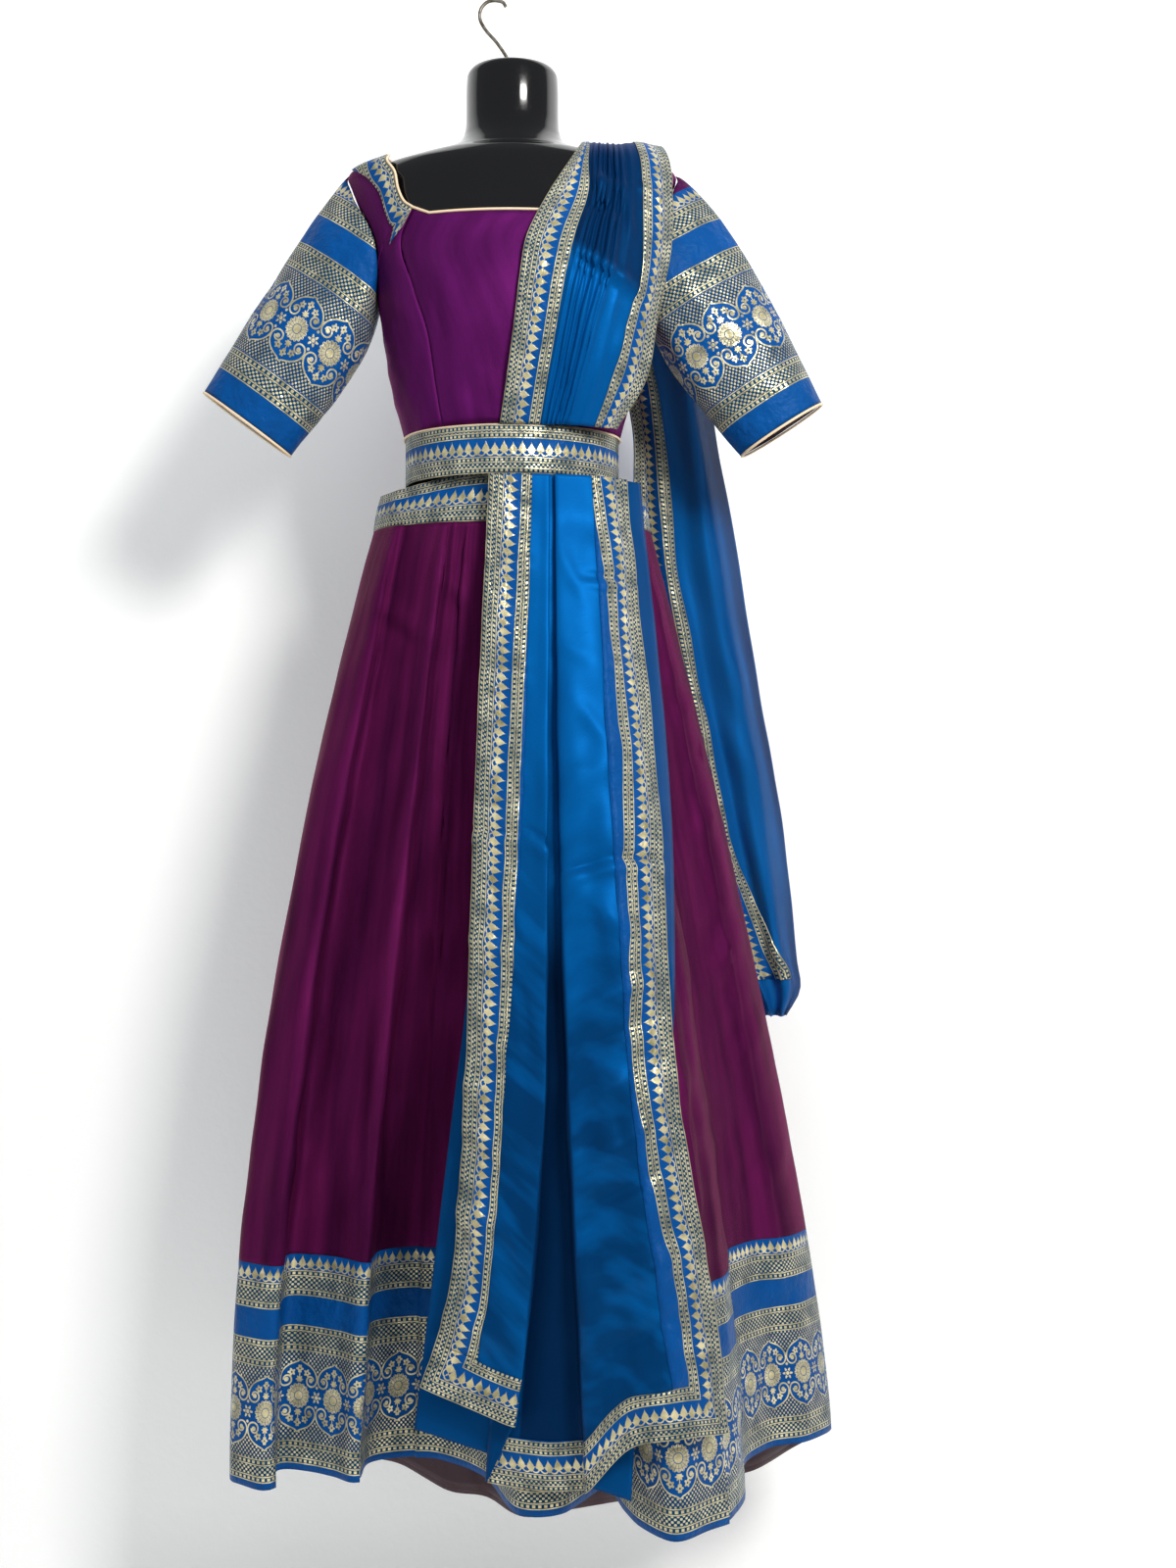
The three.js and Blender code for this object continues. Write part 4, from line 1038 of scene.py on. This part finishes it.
BACK_FOLDS = (
    (23.6, 0.03, 23.7, 0.8, -2.0, 14), (24.6, 0.02, 24.5, 1.0, 2.5, 15), (26.1, 0.02, 26.2, 0.9, -2.6, 12),
    (27.7, 0.02, 27.5, 1.0, 2.2, 14), (29.2, 0.02, 29.4, 0.75, -2.4, 11), (30.4, 0.05, 30.4, 1.0, 2.6, 13),
    (31.8, 0.02, 31.6, 0.85, -2.2, 12), (33.3, 0.03, 33.4, 1.0, 2.4, 14), (34.6, 0.02, 34.5, 0.9, -2.4, 12),
    (35.8, 0.04, 35.9, 1.0, 2.0, 15))
SKIRT_CREASES = (
    # soft slanting creases across the panels: x0 z0 x1 z1 high wide
    (-128, -690, -62, -735, 2.6, 12), (-130, -708, -80, -742, -2.0, 8), (-62, -660, -20, -700, 1.8, 10),
    (-105, -1050, -50, -1170, 3.2, 20), (-92, -1020, -40, -1110, -2.2, 12),
    (-220, -1130, -150, -1180, 2.4, 24), (-190, -900, -120, -930, 1.8, 22),
    (-160, -760, -100, -790, 1.6, 20), (-235, -1290, -190, -1340, 2.2, 22),
    (-60, -820, -10, -890, 2.2, 14), (-70, -900, -30, -1000, 2.4, 16), (240, -1120, 330, -1030, 3.4, 18),
    (232, -1070, 300, -1000, -2.4, 12), (250, -1260, 345, -1180, 3.2, 22), (225, -960, 290, -890, 2.8, 14),
    (270, -1380, 370, -1330, 2.4, 22), (205, -820, 245, -770, 2.4, 10), (212, -880, 262, -830, -2.0, 9),
    (-160, -1340, -100, -1390, 2.0, 22))
SKIRT_BACK_CREASES = (
    (-150, -900, -60, -940, 2.2, 20), (60, -1000, 160, -960, 2.2, 22), (-60, -1200, 50, -1240, 2.0, 24),
    (180, -1250, 280, -1200, 2.2, 24), (-220, -1350, -130, -1380, 2.0, 22), (40, -760, 120, -740, 1.8, 16))
SKIRT_SIDES = {
    # first station, last station, columns for each station, folds along the cloth, creases across it
    "front": (0, SIDE_SEAM, 10, FRONT_FOLDS, SKIRT_CREASES),
    "back": (SIDE_SEAM, STATIONS, 9, BACK_FOLDS, SKIRT_BACK_CREASES),
}
BODY_ROWS = 160
BORDER_ROWS = 36
SKIRT_SHARES = np.concatenate([np.linspace(0, BORDER_SHARE, BODY_ROWS + 1),
                               np.linspace(BORDER_SHARE, 1, BORDER_ROWS + 1)[1:]])


def border_drawing(shade):
    run, rise = cloth_place(shade)
    bands = (12.9 - abs(rise - 20.3)).most(14.7 - abs(rise - 149.2)).most(14.7 - abs(rise - 211.9))
    gold, ground = banded(shade, bands, run, rise, 83.8, 50.6)
    return gold.most(flames(run, rise, 227.5)), ground


border_brocade = gold_cloth("border brocade", border_drawing)
purple_satin = satin("purple satin", srgb(50, 11, 45), srgb(104, 26, 82))
skirt_grids = {}
for side, (start, end, samples, folds, creases) in SKIRT_SIDES.items():
    whole = skirt_rows(start, end, SKIRT_SHARES, samples)
    whole = fold_grooves(knife_pleats(whole, start, end, KNIFE_PLEATS[side]), start, end, folds)
    whole = rumpled(creased(whole, creases, front=side == "front"), 0.0017, 0.10, start)
    skirt_grids[side] = whole
    run = np.repeat(lengths(whole[-1:], 1), len(SKIRT_SHARES), axis=0)
    body = whole[:BODY_ROWS + 1].copy()
    body[-1] += (body[-2] - body[-1]) * SEAM_ROW_SHARE
    made = shell(skin(f"skirt_{side}_satin", body, purple_satin,
                      np.stack([run[:BODY_ROWS + 1], lengths(body, 0)], axis=-1)), SATIN_THICK)
    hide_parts(f"skirt_{side}")
    cut_from(made, body, "gathered", ["waistband"])
    edge_rows = whole[BODY_ROWS:]
    height = lengths(edge_rows, 0)
    height = (height[-1:] - height) * BORDER_HEIGHT / height[-1:]
    made = shell(skin(f"border_{side}_brocade", edge_rows, border_brocade,
                      np.stack([run[BODY_ROWS:], height], axis=-1)), BORDER_THICK, maroon)
    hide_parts(f"border_{side}")
    cut_from(made, edge_rows, "hung", [f"skirt_{side}"])

lining_rows = moved(skirt_grids["back"][BODY_ROWS:-1], -LINING_STAND)
lining = shell(skin("hem_lining", lining_rows, maroon, plain_spots(lining_rows)), LINING_THICK)
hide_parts("skirt_lining")
cut_from(lining, lining_rows, "hung", ["border_back"])

# ---- Front fall of the dupatta ----
# The pleated end of a long blue silk scarf hangs from under the belt over the skirt's folds. A plain
# layer of the same scarf lies under it, and lace runs down both long edges and along the end.
UNDER_STAND = table("z stand", (-500, 2), (-700, 2.5), (-1000, 3.5), (-1700, 5))
FALL_TOP = BELT["bottom"] - SEAM
SILK_THICK = 0.0004
SILK_WALL = 0.0012
FALL_STAND = 0.0024
PLEAT_DEPTH = table("z depth", (-500, 5.5), (-700, 10), (-950, 17), (-1700, 24))
FALL_STOPS = (FALL_TOP, -0.893, -1.211, -1.420)
FALL = table("top high low knee end endZ layer",
    (-1, -14, -23, -38, -68, -1521, 0), (46, 38, 20, 4, -20, -1537, 0), (56, 50, 40, 27, 6, -1545, 0),
    (64, 63, 62, 49, 31, -1551, 0), (65.2, 64.2, 63.2, 50.5, 32.5, -1552, 0.33),
    (64, 63, 62, 49, 31, -1553, 0.66), (52, 49, 34, 16, 2, -1615, 0.7), (50, 47, 32, 14, 0, -1617, 0.84),
    (52, 49, 34, 16, 2, -1619, 1), (61, 65, 71, 71, 64, -1621, 1), (69, 74, 83, 93, 104, -1615, 1),
    (71, 76, 85, 95, 106, -1609, 0), (90, 103, 118, 138, 150, -1560, 0), (110, 129, 150, 178, 198, -1548, 0),
    (149, 180, 200, 234, 249, -1557, 0))
FALL_ROWS = 250
FALL_SAMPLES = 7
UNDER = table("z left right",
    (-557.35, 6, 165), (-893, 0, 196), (-1150, -26, 196), (-1230, -36, 176), (-1574, -77, 150))
UNDER_END_DROP = 0.048
UNDER_STEPS = 48
SMOOTH_PASSES = 6


def lower_hull(points):
    """The front outline of taut cloth over points given as x and depth."""
    hull = []
    for p in points[np.lexsort((points[:, 1], points[:, 0]))]:
        while len(hull) > 1 and ((hull[-1][0] - hull[-2][0]) * (p[1] - hull[-2][1])
                                 - (hull[-1][1] - hull[-2][1]) * (p[0] - hull[-2][0])) <= 0:
            hull.pop()
        hull.append(p)
    return np.array(hull)


hulls = {}


def over_skirt(x, z, stand):
    """The depth of taut cloth that bridges the skirt's folds and stands off them."""
    level = round(float(z) * 1000)
    if level not in hulls:
        share = float(np.clip((SKIRT_TOP - level / 1000) / SKIRT_LENGTH, 0, 1))
        row = min(int(np.searchsorted(SKIRT_SHARES, share)), len(SKIRT_SHARES) - 1)
        ring = skirt_grids["front"][row]
        hulls[level] = lower_hull(ring[ring[:, 1] < 0][:, :2])
    hull = hulls[level]
    k = int(np.clip(np.searchsorted(hull[:, 0], x) - 1, 0, len(hull) - 2))
    slope = (hull[k + 1, 1] - hull[k, 1]) / (hull[k + 1, 0] - hull[k, 0])
    return hull[k, 1] + slope * (x - hull[k, 0]) - stand * math.hypot(1, slope)


def under_depth(x, z):
    return over_skirt(x, z, float(along(UNDER_STAND, "z", "stand", z)))


def smooth_down(rows):
    """Takes the small steps out of a grid's depth."""
    for _ in range(SMOOTH_PASSES):
        rows[1:-1, :, 1] = (rows[:-2, :, 1] + 2 * rows[1:-1, :, 1] + rows[2:, :, 1]) / 4
    return rows


def fall_line(k, z):
    stops = {"z": np.array([*FALL_STOPS, FALL["endZ"][k]]),
             "x": np.array([FALL[key][k] for key in ("top", "high", "low", "knee", "end")])}
    x = float(along(stops, "z", "x", z))
    deep = float(along(PLEAT_DEPTH, "z", "depth", z))
    return x, under_depth(x, z) - FALL_STAND - SILK_WALL - deep + deep * FALL["layer"][k], z


def fall_rows():
    folds = range(len(FALL["top"]))
    at = np.linspace(0, folds[-1], folds[-1] * FALL_SAMPLES + 1)
    lines = np.array([[fall_line(k, mix(FALL_TOP, FALL["endZ"][k], level)) for k in folds]
                      for level in np.linspace(0, 1, FALL_ROWS + 1)])
    return np.stack([smooth_through(line, at) for line in smooth_down(lines)])


def silk(name, alpha=None, painted_shade=None):
    """Thin blue silk: soft glow, faint slubs across it, slow clouds in the dye, and painted shade where
    given.
    """
    def links(shade):
        across, down = flat_place(shade)
        threads = shade.node("ShaderNodeCombineXYZ", sockets={0: across * 0.3, 1: down * 2.5})
        slub = noise_of(shade, 380, 2.0, threads)
        cloud = noise_of(shade, 6, 2.0)
        silk_colour = (0.6 * cloud + 0.4 * slub).mixed(srgb(2, 70, 132), srgb(4, 96, 166))
        # painted shade: the colour goes towards dark navy by the amount that `painted_shade` gives
        if painted_shade:
            silk_colour = painted_shade(shade).mixed(silk_colour, srgb(4, 34, 70))
        out = {"Base Color": silk_colour,
               "Roughness": 0.40 + 0.16 * slub,
               "Normal": bumped(shade, slub, 0.00018)}
        if alpha:
            out["Alpha"] = alpha(shade)
        return out
    return finish_of(name, {
        "Specular IOR Level": 0.18, "Specular Tint": srgb(60, 170, 255), "Metallic": 0.26,
        "Anisotropic": 0.4}, links)


def set_place(shade):
    """The place across the set and its height, in metres."""
    across, _, height = parts_of(shade, shade.node("ShaderNodeTexCoord", output=OBJECT_PLACE))
    return across, height


def painted_fall_shade(shade):
    """Painted shade: dark slanting patches low on the fall, and a dark strip down the pleat's recess."""
    side, up = cloth_place(shade)
    slant = shade.node("ShaderNodeCombineXYZ", sockets={0: side * 0.0005, 1: (up + side * 0.6) * 0.0016})
    shade_patches = 3.4 * noise_of(shade, 14, 3.0, slant) - 1.15
    x, z = (part * 1000 for part in set_place(shade))
    left = 62 + (z + 1211).least(0) * 0.078
    right = 74 - (z + 893).least(0) * 0.044
    inside = (1 - (x - left).below(0, 3)) * (x - right).below(0, 3) * (z + 1040).below(0, 80)
    return (up.below(560, 260) * shade_patches.most(0.06).least(0.72)).most(inside * 0.98)


blue_silk = silk("blue silk", painted_shade=painted_fall_shade)
# painted shade: the layer under the fall goes a third to two thirds of the way towards dark navy, in soft
# patches
shaded_silk = silk("inner silk", painted_shade=lambda shade: 0.35 + 0.3 * noise_of(shade, 9, 2.0))
FALL_CREASES = (
    # x0 z0 x1 z1 high wide
    (-20, -940, 40, -945, -4.2, 4), (38, -938, 76, -962, -4.0, 4), (76, -986, 132, -968, -4.2, 4),
    (126, -968, 186, -971, -4.0, 4), (-20, -951, 40, -957, 3.2, 7), (40, -950, 74, -974, 3.0, 7),
    (80, -998, 132, -980, 3.4, 7), (126, -980, 186, -983, 3.0, 6), (-4, -655, 44, -650, -2.6, 4),
    (100, -668, 158, -672, -2.8, 4), (-4, -664, 44, -659, 2.0, 5), (100, -678, 158, -682, 2.2, 5),
    (-8, -766, 46, -774, -2.4, 4), (70, -740, 108, -760, 2.6, 10), (76, -640, 104, -700, 2.2, 8),
    (92, -800, 128, -850, 2.4, 9), (12, -700, 40, -790, 2.2, 8), (14, -840, 44, -905, 2.4, 8),
    (96, -1000, 150, -1050, 5.0, 12), (90, -1130, 176, -1092, 6.0, 12), (90, -1168, 180, -1130, -5.0, 9),
    (96, -1290, 176, -1240, 7.0, 13), (98, -1330, 186, -1280, -6.0, 9), (108, -1416, 206, -1362, 7.5, 14),
    (104, -1480, 205, -1424, -5.6, 10), (120, -1520, 214, -1480, 6.0, 12), (104, -1226, 150, -1190, 4.6, 9),
    (-34, -1196, 24, -1240, 5.0, 10), (-36, -1262, 24, -1296, -4.4, 9), (-42, -1330, 30, -1362, 5.6, 12),
    (-56, -1440, 20, -1462, 5.4, 12), (-60, -1496, 10, -1484, -4.4, 9), (0, -1150, 44, -1190, 4.0, 10),
    (126, -1210, 160, -1300, -4.0, 8), (118, -990, 140, -1110, 3.2, 9), (8, -980, 44, -1060, 3.4, 9),
    (30, -1090, 50, -1180, -3.0, 7), (-26, -1050, 34, -1074, 3.6, 8), (10, -1310, 44, -1400, 4.4, 9),
    (84, -1200, 96, -1330, 4.0, 7), (150, -1380, 176, -1500, -4.2, 9), (96, -1380, 118, -1500, 4.6, 9))
fall_folds = np.arange(len(FALL["layer"]))
# 1 on the face of the fall, 0 on the layers folded under it, with a soft change between them
face = np.interp(np.arange(fall_folds[-1] * FALL_SAMPLES + 1) / FALL_SAMPLES, fall_folds, FALL["layer"])
face = np.pad(np.clip(1 - 3 * face, 0, 1), FALL_SAMPLES // 2, "edge")
face = np.convolve(face, np.ones(FALL_SAMPLES) / FALL_SAMPLES, "valid")
fall = creased(fall_rows(), FALL_CREASES, free=face)
fall = rumpled(fall, 0.0014, 0.055, 12, sewn=False, free=face)
fall_spots = np.stack([lengths(fall, 1), lengths(fall, 0)[-1:] - lengths(fall, 0)], axis=-1)
front_fall = shell(skin("front_fall_silk", fall, blue_silk, fall_spots), SILK_THICK)
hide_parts("drape_front")


def under_rows():
    across = np.linspace(0, 1, UNDER_STEPS + 1)
    rows = []
    for step in np.linspace(0, 1, FALL_ROWS + 1):
        level = mix(FALL_TOP, UNDER["z"][-1], step)
        left, right = (float(along(UNDER, "z", side, level)) for side in ("left", "right"))
        line = zip(mix(left, right, across), level - UNDER_END_DROP * across * step ** 3)
        rows.append([(x, under_depth(x, z), z) for x, z in line])
    return smooth_down(np.array(rows))


UNDER_CREASES = (
    (176, -700, 192, -980, 1.6, 6), (-20, -1160, -44, -1480, 1.5, 8), (186, -640, 190, -800, -1.2, 5),
    (-64, -1470, 0, -1500, 3.0, 12), (-70, -1530, -10, -1540, -2.6, 9))
under = creased(under_rows(), UNDER_CREASES)
under_layer = shell(skin("under_layer_silk", under, shaded_silk, plain_spots(under)), SILK_THICK)
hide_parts("drape_under")
cut_from(under_layer, under, "hung", ["belt", "skirt_front"])

# The lace lies on the face of the fall; places on it count from its outer edge and from the end.
END_ROW = int(np.argmin(np.abs(fall_spots[:, 0, 1] - LACE_WIDTH)))
RIGHT_TURN = 3 * FALL_SAMPLES
LEFT_TURN = 6 * FALL_SAMPLES


def edging(name, node, columns, turn_columns, from_left):
    """Lace down one long edge and along part of the end, cut as one piece with a mitred corner."""
    wide = fall_spots[..., 0] if from_left else fall_spots[:, -1:, 0] - fall_spots[..., 0]
    spots = np.stack([wide, fall_spots[..., 1]], axis=-1)
    strips = []
    for part, rows, count in (("_side", slice(0, END_ROW + 1), columns),
                              ("_end", slice(END_ROW, None), turn_columns)):
        width = slice(0, count + 1) if from_left else slice(-count - 1, None)
        strips.append(lace_strip(name + part, fall[rows, width], spots[rows, width], node))
    return strips


fall_laces = [*edging("fall_lace_right", "drape_lace_right", FALL_SAMPLES, RIGHT_TURN, True),
              *edging("fall_lace_left", "drape_lace_left", FALL_SAMPLES, LEFT_TURN, False)]
cut_from(front_fall, fall, "hung", ["belt", "skirt_front"], with_pieces=fall_laces)

# ---- Dupatta over the chest ----
# The same scarf, gathered into soft pleats from the belt up to the left shoulder, with its two lace
# edges showing on either side.
CHEST = table("z left laceLeft laceRight right depthLeft depthMiddle depthRight",
    (-503.65, 10, 54, 113, 138, -103, -106, -84), (-449, 19, 64, 133, 170, -113, -119, -78),
    (-388, 28, 75, 150, 181, -124, -130, -82), (-345, 33, 83, 163, 190, -127, -132, -82),
    (-299, 41, 93, 166, 198, -118, -121, -78), (-248, 64, 107, 166, 200, -98, -100, -76),
    (-208, 87, 107, 164, 197, -83, -83, -66), (-190, 96, 108, 160, 193, -69, -69, -54),
    (-177, 101, 108, 157, 188, -45, -45, -36), (-170, 104, 108, 155, 183, -8, -8, -8))
CHEST_ROWS = 90
CHEST_LACE_STEPS = 10
CHEST_PLEAT_STEPS = 72
PLEATS = (
    # share of the gathered width at the top and at the belt, height and half width of each pleat
    (0.10, 0.05, 4.5, 0.036), (0.22, 0.14, 6.2, 0.030), (0.31, 0.22, 4.2, 0.026), (0.42, 0.31, 6.6, 0.034),
    (0.55, 0.43, 5.0, 0.036), (0.66, 0.52, 3.4, 0.030), (0.80, 0.78, 2.2, 0.060))
CHEST_CREASES = (
    (84, -312, 168, -364, 3.4, 7), (84, -324, 168, -380, -3.0, 8), (96, -262, 150, -276, -2.2, 7),
    (100, -230, 158, -250, 2.4, 8), (60, -360, 40, -430, 1.6, 9), (120, -400, 104, -470, 2.0, 10),
    (150, -400, 128, -440, 2.0, 9), (110, -200, 140, -300, 2.4, 7), (140, -200, 158, -320, 2.2, 6))


def chest_rows():
    down = np.linspace(0, 1, CHEST_ROWS + 1)[:, None] ** 1.7
    z = mix(CHEST["z"][0], CHEST["z"][-1], 1 - down)
    left, lace_left, lace_right, right = (
        along(CHEST, "z", column, z) for column in ("left", "laceLeft", "laceRight", "right"))
    lace_step = np.linspace(0, 1, CHEST_LACE_STEPS + 1)[None, :]
    share = np.linspace(0, 1, CHEST_PLEAT_STEPS + 1)[None, :]
    x = np.concatenate([mix(left, lace_left, lace_step), mix(lace_left, lace_right, share[:, 1:]),
                        mix(lace_right, right, lace_step[:, 1:])], axis=1)
    pleats = sum(high / 1000 * np.exp(-((share - mix(top, low, down) - 0.012 * np.sin(5 * down + 9 * top))
                                        / half) ** 2)
                 for top, low, high, half in PLEATS)
    flat = np.zeros((len(down), CHEST_LACE_STEPS))
    ripple = np.concatenate([flat, pleats * np.sin(np.pi * np.clip(share, 0, 1)) ** 0.3, flat], axis=1)
    across = (x - left) / (right - left)
    a, b, c = (along(CHEST, "z", column, z) for column in ("depthLeft", "depthMiddle", "depthRight"))
    depth = mix(np.where(across < 0.5, a, c), b, np.sin(np.pi * across))
    return np.stack([x, depth - ripple, z + 0 * x], axis=-1)


def painted_shoulder_shade(shade):
    """Painted shade: a little over all the chest silk, and deep from the shoulder down to the slanting
    crease.
    """
    x, z = set_place(shade)
    return 0.92 - 0.80 * (z + 0.255 + 0.66 * x).below(0, 0.016)


chest = rumpled(creased(chest_rows(), CHEST_CREASES), 0.0008, 0.05, 7, sewn=False)
chest_spots = plain_spots(chest)
gathered_silk = silk("gathered silk", painted_shade=painted_shoulder_shade)
chest_drape = shell(skin("chest_silk", chest, gathered_silk, chest_spots), SILK_THICK)
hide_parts("drape_chest")


def ribbon_spots(wide, down):
    """The whole width of the ribbon over the places `wide`, which count from its outer edge."""
    whole = np.maximum(wide.max(axis=1, keepdims=True), 1e-6)
    return np.stack([wide / whole * LACE_WIDTH, PAST_END + down], axis=-1)


inner_part = slice(0, CHEST_LACE_STEPS + 1)
inner_spots = ribbon_spots(chest_spots[:, inner_part, 0], chest_spots[:, inner_part, 1])
outer_part = slice(CHEST_LACE_STEPS + CHEST_PLEAT_STEPS, chest.shape[1])
outer_wide = chest_spots[:, -1:, 0] - chest_spots[:, outer_part, 0]
outer_spots = ribbon_spots(outer_wide, chest_spots[:, outer_part, 1])
chest_laces = [
    lace_strip("chest_ribbon_inner", chest[:, inner_part], inner_spots, "chest_lace_inner"),
    lace_strip("chest_ribbon_outer", chest[:, outer_part], outer_spots, "chest_lace_outer")]
cut_from(chest_drape, chest, "gathered", ["gloss_torso", "choli_front_satin", "belt"],
         with_pieces=chest_laces)

# ---- Tail of the dupatta ----
# From the shoulder the rest of the scarf falls behind the arm and the skirt. It is one or two layers
# here, thin enough for light to pass, with the lace edge folded in at its back.
TAIL = table("at left right depthLeft depthRight z",
    (0, 104, 183, -6.6, -6.6, -170), (0.015, 103, 188, 37, 28, -174), (0.035, 101, 195, 71, 53, -186),
    (0.06, 100, 204, 94, 76, -206), (0.1, 106, 215, 107, 96, -250), (0.17, 130, 236, 110, 108, -330),
    (0.28, 157, 257, 112, 118, -449), (0.39, 163, 278, 116, 130, -560), (0.47, 168, 292, 120, 138, -640),
    (0.59, 192, 313, 128, 146, -760), (0.72, 224, 338, 138, 152, -900), (0.84, 250, 354, 142, 156, -1015),
    (0.93, 280, 364, 146, 156, -1110), (0.97, 300, 367, 146, 155, -1146), (1, 322, 350, 148, 153, -1177))
TAIL_ROWS = 130
TAIL_STEPS = 56
TAIL_LACE_STEPS = 21
TAIL_LACE_START = 30
TAIL_LACE_END = 127
TAIL_LACE_LIFT = 0.0021


def tail_rows():
    at = (np.linspace(0, 1, TAIL_ROWS + 1) ** 1.5)[:, None]
    plain = TAIL_STEPS - TAIL_LACE_STEPS
    lace_part = TAIL_LACE_STEPS / TAIL_STEPS + 0.42 * np.clip((at - 0.78) / 0.16, 0, 1) ** 1.3
    across = np.concatenate([mix(1, lace_part, np.arange(plain) / plain),
                             lace_part * np.linspace(1, 0, TAIL_LACE_STEPS + 1)], axis=1)
    left, right, near_left, near_right, z = (
        along(TAIL, "at", column, at) for column in ("left", "right", "depthLeft", "depthRight", "z"))
    wave = 0.007 * np.minimum(6 * at, 1) * np.sin(2 * np.pi * 2.5 * across)
    ripple = 0.0012 * np.minimum(8 * at, 1) * np.sin(2 * np.pi * (4.3 * across + 0.6 * np.sin(4 * at)))
    return np.stack([mix(left, right, across), mix(near_left, near_right, across) + wave + ripple,
                     z + 0 * across], axis=-1)


def thin_towards_edge(shade):
    side = cloth_place(shade)[0]
    return 0.80 + 0.14 * (1 - side.below(26, 6))


tail = rumpled(tail_rows(), 0.0016, 0.07, 3, sewn=False)
tail_spots = plain_spots(tail)
thin_silk = silk("thin blue silk", thin_towards_edge)
tail_drape = shell(skin("tail_silk", tail, thin_silk, tail_spots), SILK_THICK)
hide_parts("drape_tail")
tail_part = (slice(TAIL_LACE_START, TAIL_LACE_END), slice(TAIL_STEPS - TAIL_LACE_STEPS, None))
tail_wide = (tail_spots[:, -1:, 0] - tail_spots[..., 0])[tail_part]
tail_lace_spots = ribbon_spots(tail_wide, tail_spots[..., 1][tail_part])
tail_ribbon = lace_strip("tail_ribbon", tail[tail_part][:, ::-1], tail_lace_spots[:, ::-1], "tail_lace",
                         TAIL_LACE_LIFT)
cut_from(tail_drape, tail, "hung", ["chest_silk"], with_pieces=[tail_ribbon])
